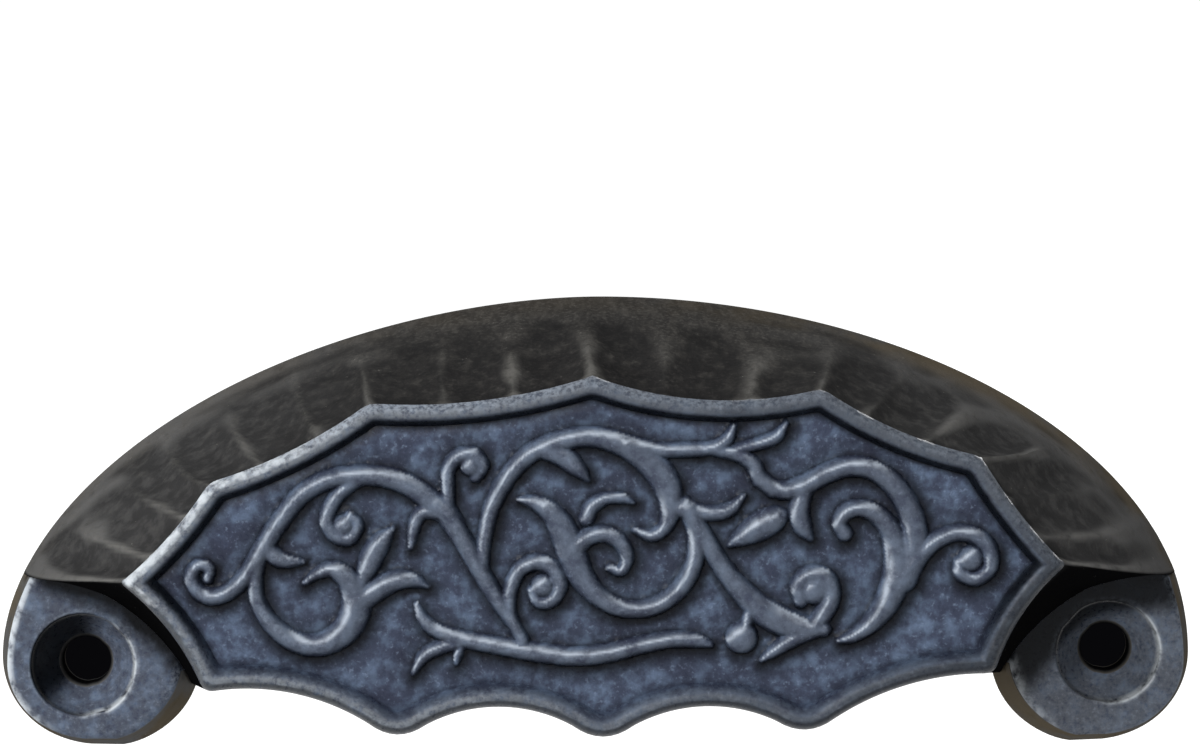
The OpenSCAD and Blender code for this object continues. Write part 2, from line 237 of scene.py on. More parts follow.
def add_layer(mesh: bpy.types.Mesh, name: str, values: Array) -> None:
    """Writes a number for each point of a mesh.

    Args:
        mesh: mesh that gets the layer.
        name: name of the layer.
        values: one number for each point.
    """
    layer = mesh.attributes.new(name, "FLOAT", "POINT")
    layer.data.foreach_set("value", values.astype(np.float32))


def read_items(items: bpy.types.bpy_prop_collection, name: str, width: int, kind: type) -> Array:
    """Reads a property of all items of a mesh.

    Args:
        items: points, edges, faces or layer values of the mesh.
        name: the property.
        width: how many numbers it has.
        kind: type of those numbers.

    Returns:
        One row for each item, or one number where the width is 1.
    """
    values = np.empty(len(items) * width, kind)
    items.foreach_get(name, values)
    return values.reshape(-1, width) if width > 1 else values


def combine(base: bpy.types.Object, tool: bpy.types.Object, cut: Cut) -> None:
    """Cuts a closed tool mesh out of a closed base mesh or joins it on, and deletes the tool.

    Args:
        base: object that is changed.
        tool: object that is used up.
        cut: whether the tool is joined or removed.
    """
    modifier = base.modifiers.new(cut.name.lower(), "BOOLEAN")
    modifier.object = tool
    modifier.operation = cut.value
    modifier.solver = "MANIFOLD"
    evaluated = base.evaluated_get(bpy.context.evaluated_depsgraph_get())
    mesh = bpy.data.meshes.new_from_object(evaluated)
    base.modifiers.clear()
    old = base.data
    base.data = mesh
    bpy.data.meshes.remove(old)
    bpy.data.objects.remove(tool)


def ring_faces(first: int, second: int, count: int) -> list:
    """Quads between two closed loops of equal count, given their first vertex numbers."""
    following = [(i + 1) % count for i in range(count)]
    return [(first + i, second + i, second + j, first + j) for i, j in enumerate(following)]


def close_loops(name: str, loops: list[Array]) -> bpy.types.Object:
    """Closed mesh through loops of equal count, capped at both ends.

    Args:
        name: name of the object.
        loops: n by 3 places each, clockwise as seen from the front, the first at the back.

    Returns:
        The new object.
    """
    n = len(loops[0])
    faces: list = [tuple(range(n))]
    for j in range(len(loops) - 1):
        faces += ring_faces(j * n, (j + 1) * n, n)
    faces.append(tuple(range(len(loops) * n - 1, (len(loops) - 1) * n - 1, -1)))
    return add_object(name, np.concatenate(loops), faces)


@dataclass(frozen=True)
class Sizes:
    """Driving sizes of the casting in mm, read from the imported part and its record."""

    half: float
    arch_a: float
    hood_h: float
    projection: float
    bore_r: float
    sink_r: float = 4.8
    sink_land: float = 0.6
    lug_t: float = 5.0
    right_drop: float = 0.8
    wall: float = 3.0
    rim_w: float = 2.1
    recess: float = 1.3
    edge_drop: float = 1.2
    full_left: float = 1.85
    full_right: float = 1.95
    low_left: float = 16.0
    low_right: float = 12.5

    @classmethod
    def from_frame(cls) -> "Sizes":
        """Reads the sizes that the frame gives.

        Returns:
            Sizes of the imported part.
        """
        low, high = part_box(NODE)
        dims = next(m["dims"] for m in frame["record"]["mounts"] if m["kind"] == "bolt_pattern")
        return cls(
            half=dims["spacing_x_mm"] / 2,
            arch_a=high.x / MM,
            hood_h=high.z / MM,
            projection=-low.y / MM,
            bore_r=dims["hole_r_mm"],
        )

    @property
    def floor_y(self) -> float:
        """Distance of the panel floor from the drawer front."""
        return self.projection - self.recess

    @property
    def edge_y(self) -> float:
        """Distance of the outer edge of the rim from the drawer front."""
        return self.projection - self.edge_drop

    @property
    def foot_r(self) -> float:
        """Radius of a lug on the drawer front."""
        return self.arch_a - self.half

    def drop(self, side: Side) -> float:
        """Height of the middle of a lug."""
        return -self.right_drop if side is Side.RIGHT else 0.0

    def arch(self, a: float, h: float, turn: Array) -> Array:
        """Points of the arch on the drawer front.

        Args:
            a: half width in mm.
            h: height in mm.
            turn: directions in degrees, 0 to the right and 90 up.

        Returns:
            n by 2 places.
        """
        turn = np.radians(np.asarray(turn, float))
        power = 2 / np.where(np.cos(turn) < 0, self.full_left, self.full_right)
        c, s = np.cos(turn), np.sin(turn)
        return np.stack([np.sign(c) * a * np.abs(c) ** power, h * np.abs(s) ** power], -1)


@dataclass(frozen=True)
class Corner:
    """A corner of the panel, the dip of the scallop after it and its rounding, in mm."""

    x: float
    z: float
    dip: float
    rounding: float


PANEL_CORNERS = (
    Corner(-42.8, 10.1, 0.5, 0.8),
    Corner(-34.5, 19.2, 0.7, 0.9),
    Corner(-20.0, 26.2, 1.0, 0.9),
    Corner(0.1, 28.4, 1.6, 1.2),
    Corner(20.7, 27.0, 0.8, 0.9),
    Corner(34.9, 20.7, 0.4, 0.9),
    Corner(42.6, 10.6, 0.9, 0.8),
    Corner(36.0, 0.7, 1.7, 1.0),
    Corner(19.0, -5.1, 3.4, 3.2),
    Corner(0.6, -5.6, 3.6, 3.4),
    Corner(-18.0, -5.1, 2.1, 3.2),
    Corner(-35.3, -0.1, 0.9, 1.0),
)
# The first sides run along the hood; the side after them and the last one run along the lugs
TOP_SIDES = 6
LAST_SIDE = len(PANEL_CORNERS) - 1


@dataclass
class Outline:
    """Scalloped outline of the panel, clockwise as seen from the front."""

    corners: tuple[Corner, ...] = PANEL_CORNERS
    pitch: float = 0.36
    fewest: int = 6
    corner_points: int = 4
    places: Array = field(init=False)
    circles: list = field(init=False)
    counts: list = field(init=False)

    def __post_init__(self) -> None:
        """Works out the scallops and how many points each side gets."""
        sides = range(len(self.corners))
        self.places = np.array([(c.x, c.z) for c in self.corners])
        self.circles = [self._circle(k) for k in sides]
        self.counts = [max(self.fewest, round(self.length(k, 0) / self.pitch)) for k in sides]

    def _circle(self, k: int) -> tuple[Array, float]:
        """Circle that a scallop is part of.

        Args:
            k: number of the corner before the scallop.

        Returns:
            Centre and radius in mm.
        """
        a, b = self.places[k], self.places[(k + 1) % len(self.corners)]
        chord = b - a
        sag = self.corners[k].dip
        inward = np.array([chord[1], -chord[0]]) / np.linalg.norm(chord)
        radius = (chord @ chord / 4 + sag * sag) / (2 * sag)
        return (a + b) / 2 - inward * (radius - sag), radius

    def apex(self, k: int, inset: float) -> Array:
        """Corner of the outline before rounding, where the circles of two scallops meet.

        Args:
            k: number of the corner.
            inset: distance in mm inside the outer edge.

        Returns:
            Its place.
        """
        k %= len(self.corners)
        (c, ra), (e, rb) = self.circles[k - 1], self.circles[k]
        ra, rb = ra + inset, rb + inset
        gap = np.linalg.norm(e - c)
        u = (e - c) / gap
        along = (ra * ra - rb * rb + gap * gap) / (2 * gap)
        up = math.sqrt(max(0.0, ra * ra - along * along))
        choices = [c + u * along + s * up * np.array([-u[1], u[0]]) for s in (1, -1)]
        return min(choices, key=lambda p: np.linalg.norm(p - self.places[k]))

    def length(self, k: int, inset: float) -> float:
        """Length of a scallop.

        Args:
            k: number of the corner before it.
            inset: distance in mm inside the outer edge.

        Returns:
            Length in mm, before rounding.
        """
        k %= len(self.corners)
        radius = self.circles[k][1] + inset
        chord = np.linalg.norm(self.apex(k + 1, inset) - self.apex(k, inset))
        return 2 * radius * math.asin(chord / 2 / radius)

    def on_arc(self, k: int, inset: float, along: Array) -> Array:
        """Points on a scallop.

        Args:
            k: number of the corner before it.
            inset: distance in mm inside the outer edge.
            along: distances in mm from that corner.

        Returns:
            n by 2 places.
        """
        k %= len(self.corners)
        centre, radius = self.circles[k][0], self.circles[k][1] + inset
        start = self.apex(k, inset) - centre
        turn = math.atan2(start[1], start[0]) + np.asarray(along, float) / radius
        return centre + radius * np.stack([np.cos(turn), np.sin(turn)], -1)

    def loop(self, inset: float, share: float) -> Array:
        """Closed outline with rounded corners.

        Args:
            inset: distance in mm inside the outer edge.
            share: how much of each corner's rounding is kept.

        Returns:
            n by 2 places, with the same n for every inset.
        """
        rows = []
        n = len(self.corners)
        after = np.linspace(0.5, 1, self.corner_points + 1)[:-1]
        before = np.linspace(0, 0.5, self.corner_points + 1)[1:-1]
        for k in range(n):
            cut, following = self.corners[k].rounding * share, self.corners[(k + 1) % n].rounding * share
            rows.append(self._blend(k, inset, share, after))
            stretch = np.linspace(cut, self.length(k, inset) - following, self.counts[k])
            rows.append(self.on_arc(k, inset, stretch))
            rows.append(self._blend(k + 1, inset, share, before))
        return np.concatenate(rows)

    def _blend(self, k: int, inset: float, share: float, t: Array) -> Array:
        """Points on the rounding of a corner.

        Args:
            k: number of the corner.
            inset: distance in mm inside the outer edge.
            share: how much of the rounding is kept.
            t: ways along the rounding, from 0 to 1.

        Returns:
            n by 2 places.
        """
        cut = self.corners[k % len(self.corners)].rounding * share
        a = self.on_arc(k - 1, inset, self.length(k - 1, inset) - cut)
        c = self.on_arc(k, inset, cut)
        t = t[:, None]
        return a * (1 - t) ** 2 + self.apex(k, inset) * 2 * t * (1 - t) + c * t * t

    @cached_property
    def sides(self) -> Array:
        """Side number of every loop point."""
        return np.repeat(np.arange(len(self.counts)), self._totals())

    @cached_property
    def shares(self) -> Array:
        """Share of every loop point along its side."""
        return np.concatenate([np.arange(total) / total for total in self._totals()])

    def _totals(self) -> list[int]:
        """Number of loop points on each side, with those of its corners."""
        return [count + 2 * self.corner_points - 1 for count in self.counts]


@dataclass(frozen=True)
class Hammering:
    """Hammer marks on the hood: thumb-shaped scoops, three to a scallop along the rim, and dents above.

    Each pair of numbers is the range from which a mark takes its own.
    """

    per_scallop: int = 3
    scallop_mm: float = 18.0
    scoop_depth: float = 1.0
    scoop_strength: tuple[float, float] = (0.75, 1.1)
    scoop_drift: tuple[float, float] = (-0.12, 0.12)
    scoop_lean: tuple[float, float] = (-0.2, 0.2)
    scoop_run: tuple[float, float] = (0.8, 1.05)
    scoop_narrowing: tuple[float, float] = (2.4, 3.2)
    left_lean: float = 0.75
    dents: int = 64
    dent_depth: float = 0.36
    dent_width: tuple[float, float] = (0.7, 1.2)
    dent_place: tuple[float, float] = (0.06, 0.6)
    dent_run: tuple[float, float] = (0.1, 0.26)
    dent_strength: tuple[float, float] = (0.5, 1)
    lumps: Lumps = Lumps(0.2, 2.4, 11)
    seed: int = 11

    def depths(self, along: Array, out: Array) -> Array:
        """Depth of the marks.

        Args:
            along: place along the top scallops, 1 for each scallop.
            out: share of the way from the drawer front to the rim.

        Returns:
            Depth in mm at each place.
        """
        rng = np.random.default_rng(self.seed)
        total = TOP_SIDES * self.per_scallop
        scoop = np.zeros_like(along)
        for i in range(-1, total):
            strength, drift = rng.uniform(*self.scoop_strength), rng.uniform(*self.scoop_drift)
            # Those of the left end lean towards the top
            lean = rng.uniform(*self.scoop_lean) + self.left_lean * max(0.0, 1 - 2 * max(i, 0) / total)
            y = (1 - out) / rng.uniform(*self.scoop_run)
            x = along * self.per_scallop - (i + 0.5) - drift - lean * y
            across = 1 - rng.uniform(*self.scoop_narrowing) * x * x
            run = lerp(1.0, 0.5, smoothstep(0.35, 0.75, y)) * (1 - smoothstep(0.75, 1.0, y))
            scoop = np.maximum(scoop, strength * across * run)
        dent = np.zeros_like(along)
        for _ in range(self.dents):
            x = (along - rng.uniform(0, TOP_SIDES)) * self.per_scallop / rng.uniform(*self.dent_width)
            y = (out - rng.uniform(*self.dent_place)) / rng.uniform(*self.dent_run)
            dent = np.maximum(dent, rng.uniform(*self.dent_strength) * (1 - 2 * x * x - y * y))
        # The marks fade out at the drawer front and at the ends of the hood, and a little at the rim
        fade = np.clip(out / 0.1, 0, 1) * np.clip(0.6 + (1 - out) / 0.15, 0, 1)
        fade *= smoothstep(0.0, 0.2, np.minimum(along, TOP_SIDES - along))
        marks = np.maximum(self.scoop_depth * scoop, self.dent_depth * dent)
        places = np.stack([along * self.scallop_mm, out * self.scallop_mm], -1)
        return fade * (marks + uneven(places, (self.lumps,)))


@dataclass(frozen=True)
class Stem:
    """A stem of the vine: places in mm with its width there."""

    points: tuple[tuple[float, float, float], ...]

    def samples(self, pitch: float) -> Array:
        """Points on a smooth curve through the places.

        Args:
            pitch: distance between points in mm.

        Returns:
            n by 3 array of x, z and width.
        """
        p = np.array(self.points)
        p = np.concatenate([2 * p[:1] - p[1:2], p, 2 * p[-1:] - p[-2:-1]])
        rows = []
        for a, b, c, d in zip(p, p[1:], p[2:], p[3:]):
            count = max(2, int(np.linalg.norm((c - b)[:2]) / pitch))
            t = np.linspace(0, 1, count, endpoint=False)[:, None]
            rows.append(0.5 * (2 * b + (c - a) * t + (2 * a - 5 * b + 4 * c - d) * t ** 2
                               + (3 * b - a - 3 * c + d) * t ** 3))
        return np.concatenate(rows + [p[-2:-1]])


VINE = {
    "main_left": Stem((
        (-34.7, 10.2, 0.9), (-34.6, 11.2, 1.1), (-35.6, 11.5, 1.2), (-36.2, 10.4, 1.3), (-35.6, 9.1, 1.4),
        (-34.2, 8.6, 1.5), (-32.4, 9.4, 1.5), (-30.8, 11.2, 1.6), (-29.6, 13.2, 1.7), (-28.0, 15.6, 1.7),
        (-25.9, 18.0, 1.7), (-23.0, 19.3, 1.7), (-19.5, 19.4, 1.8), (-16.5, 18.5, 1.9), (-13.2, 16.0, 2.0))),
    "branch_left": Stem((
        (-14.0, 16.7, 1.8), (-13.2, 16.0, 2.0), (-11.7, 13.4, 1.7), (-10.2, 10.6, 1.6), (-8.8, 8.2, 1.5),
        (-6.4, 4.4, 1.0))),
    "curl_node": Stem((
        (-13.0, 16.2, 1.2), (-13.0, 18.5, 1.2), (-12.9, 20.0, 1.3), (-12.0, 21.1, 1.4), (-10.7, 21.2, 1.4),
        (-9.9, 20.2, 1.3), (-10.5, 19.2, 1.1))),
    "hook_node": Stem(((-13.0, 16.0, 1.6), (-15.2, 16.1, 1.4), (-16.0, 15.0, 1.2), (-16.4, 12.9, 0.6))),
    "curl_upper": Stem((
        (-20.5, 19.2, 1.2), (-21.8, 18.6, 1.3), (-23.2, 17.3, 1.4), (-23.9, 15.6, 1.4), (-23.3, 14.2, 1.4),
        (-22.0, 13.8, 1.4), (-21.2, 14.9, 1.2), (-21.9, 15.8, 1.0))),
    "scroll_left": Stem((
        (-29.6, 13.0, 1.2), (-30.4, 10.5, 1.3), (-30.3, 8.2, 1.4), (-29.2, 6.2, 1.6), (-27.3, 4.6, 1.8),
        (-25.1, 4.1, 2.0), (-23.1, 4.9, 2.3), (-21.8, 6.4, 2.6), (-21.4, 8.2, 2.5), (-22.1, 10.0, 2.0),
        (-23.5, 11.0, 1.5), (-24.9, 10.6, 1.1), (-26.0, 9.8, 0.6))),
    "leaf_low": Stem((
        (-21.4, 7.8, 2.0), (-19.4, 9.2, 2.0), (-17.8, 9.9, 1.8), (-16.2, 9.9, 1.3), (-15.0, 9.3, 0.5))),
    "bud_left": Stem(((-20.9, 9.6, 1.0), (-20.1, 11.7, 2.0), (-19.2, 13.3, 1.8), (-18.0, 14.6, 0.5))),
    "thorn": Stem(((-29.6, 13.4, 1.4), (-28.6, 12.2, 1.6), (-27.6, 11.8, 1.3), (-26.1, 11.7, 0.5))),
    "arch_mid": Stem((
        (-9.6, 9.0, 1.0), (-10.0, 11.5, 1.2), (-9.7, 14.0, 1.3), (-9.0, 16.7, 1.5), (-7.6, 19.2, 1.6),
        (-5.6, 21.2, 1.7), (-3.0, 22.3, 1.8), (-0.3, 22.7, 1.8), (2.3, 22.1, 2.0), (4.6, 20.8, 2.3),
        (6.3, 18.9, 2.5), (7.0, 16.7, 2.1), (6.6, 14.7, 1.4), (5.3, 13.7, 1.2), (3.7, 14.2, 0.6))),
    "leaf_arch": Stem(((-4.8, 21.6, 1.4), (-2.9, 21.1, 1.9), (-1.5, 20.0, 1.6), (-0.4, 18.8, 0.5))),
    "tendril": Stem((
        (3.2, 22.0, 1.6), (5.8, 21.4, 1.4), (8.0, 21.4, 1.3), (10.5, 21.5, 1.3), (12.0, 22.2, 1.2),
        (12.8, 23.6, 0.6))),
    "tendril_down": Stem((
        (10.4, 21.5, 1.2), (13.0, 20.9, 1.3), (14.4, 20.0, 1.4), (15.0, 18.8, 1.5), (16.2, 17.7, 1.5))),
    "hook_right": Stem(((12.7, 21.3, 1.0), (15.0, 21.9, 1.2), (16.5, 22.5, 1.2), (17.4, 23.6, 0.6))),
    "sweep_right": Stem((
        (15.0, 18.5, 1.3), (17.0, 17.6, 1.6), (19.0, 18.1, 1.8), (21.0, 19.1, 1.8), (23.0, 19.7, 1.8),
        (25.0, 19.4, 1.8), (26.8, 18.2, 1.9), (28.1, 16.4, 2.0), (28.8, 14.3, 2.2), (28.7, 12.0, 2.6),
        (27.8, 9.6, 2.6))),
    "leaf_sweep": Stem(((19.0, 18.0, 1.6), (18.5, 15.8, 1.8), (18.8, 14.3, 1.6), (19.5, 13.2, 0.6))),
    "crook": Stem((
        (22.6, 13.6, 1.4), (22.1, 14.6, 1.4), (22.7, 15.6, 1.5), (24.0, 15.9, 1.6), (25.5, 15.3, 1.7),
        (26.7, 13.8, 1.9), (27.3, 11.8, 2.3), (27.2, 9.6, 2.5), (26.3, 7.3, 2.2), (24.8, 5.4, 1.7),
        (23.2, 4.3, 1.2), (22.0, 3.9, 0.6))),
    "curl_right": Stem((
        (27.6, 9.0, 1.8), (29.0, 11.2, 1.8), (30.5, 12.7, 1.6), (32.3, 13.5, 1.5), (34.2, 13.3, 1.5),
        (35.5, 12.1, 1.5), (35.6, 10.4, 1.5), (34.3, 9.4, 1.4), (33.0, 9.9, 1.3), (32.8, 11.0, 1.0))),
    "scroll_mid": Stem((
        (-6.6, 17.1, 0.6), (-5.2, 16.8, 1.3), (-3.7, 15.8, 1.9), (-2.6, 14.0, 2.4), (-1.9, 11.9, 2.5),
        (-1.1, 10.0, 2.2), (0.4, 8.2, 1.8), (2.5, 7.1, 1.6), (4.8, 7.1, 1.6), (6.9, 8.1, 1.6), (8.4, 9.8, 1.6),
        (9.2, 12.0, 1.6), (9.2, 14.2, 1.7), (8.6, 16.0, 1.8))),
    "spiral_mid": Stem((
        (-1.8, 12.6, 1.8), (-0.3, 13.7, 1.6), (1.2, 13.8, 1.5), (2.5, 13.0, 1.4), (3.0, 11.6, 1.2),
        (2.4, 10.5, 1.0), (1.4, 10.8, 0.8))),
    "leaf_mid": Stem((
        (-0.6, 15.3, 1.4), (-0.1, 16.4, 1.4), (1.2, 17.1, 1.2), (2.6, 17.1, 1.0), (3.6, 16.7, 0.5))),
    "spiral_low": Stem((
        (-6.5, 4.2, 1.2), (-7.6, 6.8, 1.2), (-7.5, 9.0, 1.3), (-6.7, 10.7, 1.4), (-5.2, 11.4, 1.5),
        (-3.7, 10.8, 1.5), (-3.1, 9.3, 1.5), (-3.8, 8.0, 1.4), (-5.0, 7.8, 1.2), (-5.6, 8.9, 0.9))),
    "stem_low": Stem((
        (-16.0, 7.7, 0.6), (-15.3, 6.2, 1.2), (-14.0, 5.2, 1.4), (-11.5, 4.4, 1.5), (-8.5, 3.8, 1.6),
        (-5.3, 3.2, 1.7), (-2.0, 2.8, 1.7), (1.0, 3.0, 1.7), (4.0, 3.7, 1.6), (6.8, 4.2, 1.5), (9.0, 4.1, 1.3),
        (10.4, 3.7, 0.7))),
    "leaf_stem": Stem(((-11.4, 4.3, 1.0), (-13.8, 3.8, 1.3), (-15.4, 3.0, 1.2), (-16.4, 1.4, 0.5))),
    "nub": Stem(((-12.0, 4.0, 0.9), (-12.3, 3.2, 0.9), (-12.5, 2.3, 0.5))),
    "fall": Stem((
        (8.2, 16.4, 1.6), (9.9, 13.6, 1.7), (11.2, 11.3, 1.7), (12.8, 9.1, 1.9), (14.6, 7.2, 2.3),
        (16.3, 6.0, 2.5), (18.2, 5.3, 2.2), (20.6, 5.0, 1.4))),
    "leaf_fall": Stem(((7.8, 16.1, 1.6), (10.5, 15.6, 1.4), (12.3, 16.0, 1.3), (13.5, 17.1, 0.6))),
    "almond": Stem((
        (12.2, 12.7, 0.5), (13.6, 13.6, 1.8), (15.0, 14.4, 2.5), (16.2, 15.0, 2.2), (17.0, 15.4, 1.1))),
    "knob_tail": Stem((
        (18.6, 7.6, 1.3), (18.4, 9.1, 1.5), (19.5, 10.0, 1.6), (20.9, 9.5, 1.7), (21.3, 8.0, 1.7),
        (20.6, 6.4, 1.7), (19.5, 5.2, 1.4))),
    "ragged": Stem(((20.6, 5.0, 1.2), (18.2, 4.3, 1.5), (16.2, 3.1, 1.2), (15.0, 2.2, 0.5))),
    "link": Stem(((14.2, 7.8, 1.0), (13.9, 6.4, 1.1), (13.5, 5.0, 1.2))),
}
# Knobs in the eyes of the curls: x, z and radius in mm
KNOBS = (
    (-10.9, 20.2, 1.0), (-22.4, 15.0, 1.0), (33.9, 11.2, 1.2),
    (-4.6, 9.3, 1.1), (19.8, 8.6, 1.4), (13.2, 4.3, 1.5),
)


@dataclass(frozen=True)
class Relief:
    """The carved vine as a height over the panel floor, in mm."""

    height: float = 1.15
    knob_rise: float = 1.05
    slope: float = 1.1
    width_share: float = 1.1
    roundness: float = 0.7
    sample_pitch: float = 0.12
    blend_power: float = 7.0
    gap_reach: float = 1.5

    def heights(self, places: Array) -> Array:
        """Height of the carving over the floor.

        Args:
            places: n by 2 places on the panel.

        Returns:
            n heights in mm.
        """
        total = np.zeros(len(places))
        for line, radius in self._lines():
            total += self._ridge(places, line, radius)
        for x, z, r in KNOBS:
            away = np.linalg.norm(places - (x, z), axis=1) / r
            crown = self.height * self.knob_rise * np.sqrt(np.clip(1 - away ** 2, 0, 1))
            total += crown ** self.blend_power
        return total ** (1 / self.blend_power)

    def foot_gap(self, places: Array) -> Array:
        """Distance of each place outside the foot of the nearest stem or knob.

        Args:
            places: n by 2 places on the panel.

        Returns:
            n distances in mm, less than 0 on a stem or knob.
        """
        best = np.full(len(places), FAR)
        for line, radius in self._lines():
            near = self._near(places, line, radius.max() + self.gap_reach)
            if near.any():
                gap = np.linalg.norm(places[near][:, None] - line[None], axis=2) - radius[None]
                best[near] = np.minimum(best[near], gap.min(1))
        for x, z, r in KNOBS:
            best = np.minimum(best, np.linalg.norm(places - (x, z), axis=1) - r)
        return best

    def _lines(self) -> list[tuple[Array, Array]]:
        """Middle line and half width of each stem."""
        samples = [stem.samples(self.sample_pitch) for stem in VINE.values()]
        return [(points[:, :2], points[:, 2] * self.width_share / 2) for points in samples]

    @staticmethod
    def _near(places: Array, line: Array, reach: float) -> Array:
        """Whether each place lies within reach of the box round a line."""
        return np.all((places > line.min(0) - reach) & (places < line.max(0) + reach), axis=1)

    def _ridge(self, places: Array, line: Array, radius: Array) -> Array:
        """Height of one stem.

        Args:
            places: n by 2 places on the panel.
            line: points of its middle line.
            radius: its half width at those points.

        Returns:
            n heights, raised to the power that blends stems into each other.
        """
        near = self._near(places, line, radius.max())
        out = np.zeros(len(places))
        if near.any():
            gap = np.linalg.norm(places[near][:, None] - line[None], axis=2) / radius[None]
            best = gap.argmin(1)
            away = gap[np.arange(len(best)), best]
            crest = np.minimum(self.height, self.height * self.slope * radius[best])
            out[near] = (crest * np.clip(1 - away ** 2, 0, 1) ** self.roundness) ** self.blend_power
        return out


@dataclass
class Panel:
    """Front panel: the rounded rim and the carved floor inside it."""

    sizes: Sizes
    outline: Outline
    relief: Relief = field(default_factory=Relief)
    grid_pitch: float = 0.36
    stem_pitch: float = 0.19
    grid_margin: float = 0.55
    rim_steps: int = 13
    rim_reach: float = 1.05
    rim_crest: float = 0.45
    rim_power: float = 2.4
    foot_rounding: float = 0.45
    floor_rounding: float = 0.4
    groove: float = 0.14
    groove_w: float = 0.7
    # Pits of the rubbed casting skin, and the uneven floor between the stems
    rim_pits: tuple[Lumps, ...] = (Lumps(0.05, 0.55, 3), Lumps(0.035, 1.6, 4))
    floor_lumps: tuple[Lumps, ...] = (Lumps(0.05, 2.6, 7), Lumps(0.03, 1.0, 8), Lumps(0.012, 0.5, 9))

    def rim_profile(self, share: float) -> float:
        """Distance of the rim from the drawer front.

        Args:
            share: way across the rim, 0 at its outer edge and 1 at its foot on the floor.

        Returns:
            Distance in mm.
        """
        if share < self.rim_crest:
            drop, across = self.sizes.edge_drop, (self.rim_crest - share) / self.rim_crest
        else:
            drop, across = self.sizes.recess + self.groove, (share - self.rim_crest) / (1 - self.rim_crest)
        return self.sizes.projection - drop * across ** self.rim_power

    def rim_loops(self) -> list[Array]:
        """Loops of the rim.

        Returns:
            n by 3 places of each loop, from the outer edge to the foot.
        """
        loops = []
        for share in np.linspace(0, 1, self.rim_steps + 1)[1:]:
            inset = self.sizes.rim_w * self.rim_reach * share
            flat = self.outline.loop(inset, lerp(1.0, self.foot_rounding, share))
            pits = uneven(flat, self.rim_pits) * math.sin(math.pi * share)
            loops.append(at_depth(flat, self.rim_profile(share) + pits))
        return loops

    def floor(self, foot: Array) -> tuple[Array, Array]:
        """Carved floor inside the foot of the rim, with a finer grid on the stems.

        Args:
            foot: n by 2 places of the foot of the rim.

        Returns:
            Places of the points inside the foot, and the triangles over foot points and then those.
        """
        inset = self.sizes.rim_w * self.rim_reach + self.grid_margin * self.grid_pitch
        inside = self.outline.loop(inset, self.floor_rounding)
        coarse = self._grid(inside, self.grid_pitch)
        fine = self._grid(inside, self.stem_pitch)
        # The finer grid reaches a little beyond the foot of the stems
        coarse = coarse[self.relief.foot_gap(coarse) > 0.3]
        fine = fine[self.relief.foot_gap(fine) < 0.15]
        grid = np.concatenate([coarse, fine])
        flat = np.concatenate([foot, grid])
        edges = [(i, (i + 1) % len(foot)) for i in range(len(foot))]
        _, _, faces, origins, _, _ = delaunay_2d_cdt(flat.tolist(), edges, [], 1, 1e-7)
        renumber = np.array([o[0] for o in origins])
        return self._raise(grid, inside), renumber[np.array(faces)]

    def _grid(self, inside: Array, pitch: float) -> Array:
        """Places in rows of triangles inside a loop.

        Args:
            inside: n by 2 places of the loop.
            pitch: distance between places in mm.

        Returns:
            m by 2 places.
        """
        low, high = inside.min(0), inside.max(0)
        rows = np.arange(low[1], high[1], pitch * math.sqrt(0.75))
        columns = np.arange(low[0], high[0], pitch)
        grid = np.stack(np.meshgrid(columns, rows), -1)
        grid[1::2, :, 0] += pitch / 2
        grid = grid.reshape(-1, 2)
        return grid[self.contains(inside, grid)]

    def _raise(self, grid: Array, inside: Array) -> Array:
        """Lifts flat places to the carved surface.

        Args:
            grid: n by 2 places on the floor.
            inside: loop along which the groove at the foot of the rim runs.

        Returns:
            n by 3 places.
        """
        bed = -self.groove * (1 - smoothstep(0.0, self.groove_w, nearest(grid, inside[::2])))
        bed += uneven(grid, self.floor_lumps)
        return at_depth(grid, self.sizes.floor_y + bed + self.relief.heights(grid))

    @staticmethod
    def contains(loop: Array, places: Array) -> Array:
        """Whether places are inside a closed loop.

        Args:
            loop: m by 2 places of the loop.
            places: n by 2 places.

        Returns:
            One answer for each place.
        """
        inside = np.zeros(len(places), bool)
        for (xa, za), (xb, zb) in zip(loop, np.roll(loop, -1, 0)):
            if za != zb:
                crosses = (za > places[:, 1]) != (zb > places[:, 1])
                inside ^= crosses & (places[:, 0] < (xb - xa) * (places[:, 1] - za) / (zb - za) + xa)
        return inside


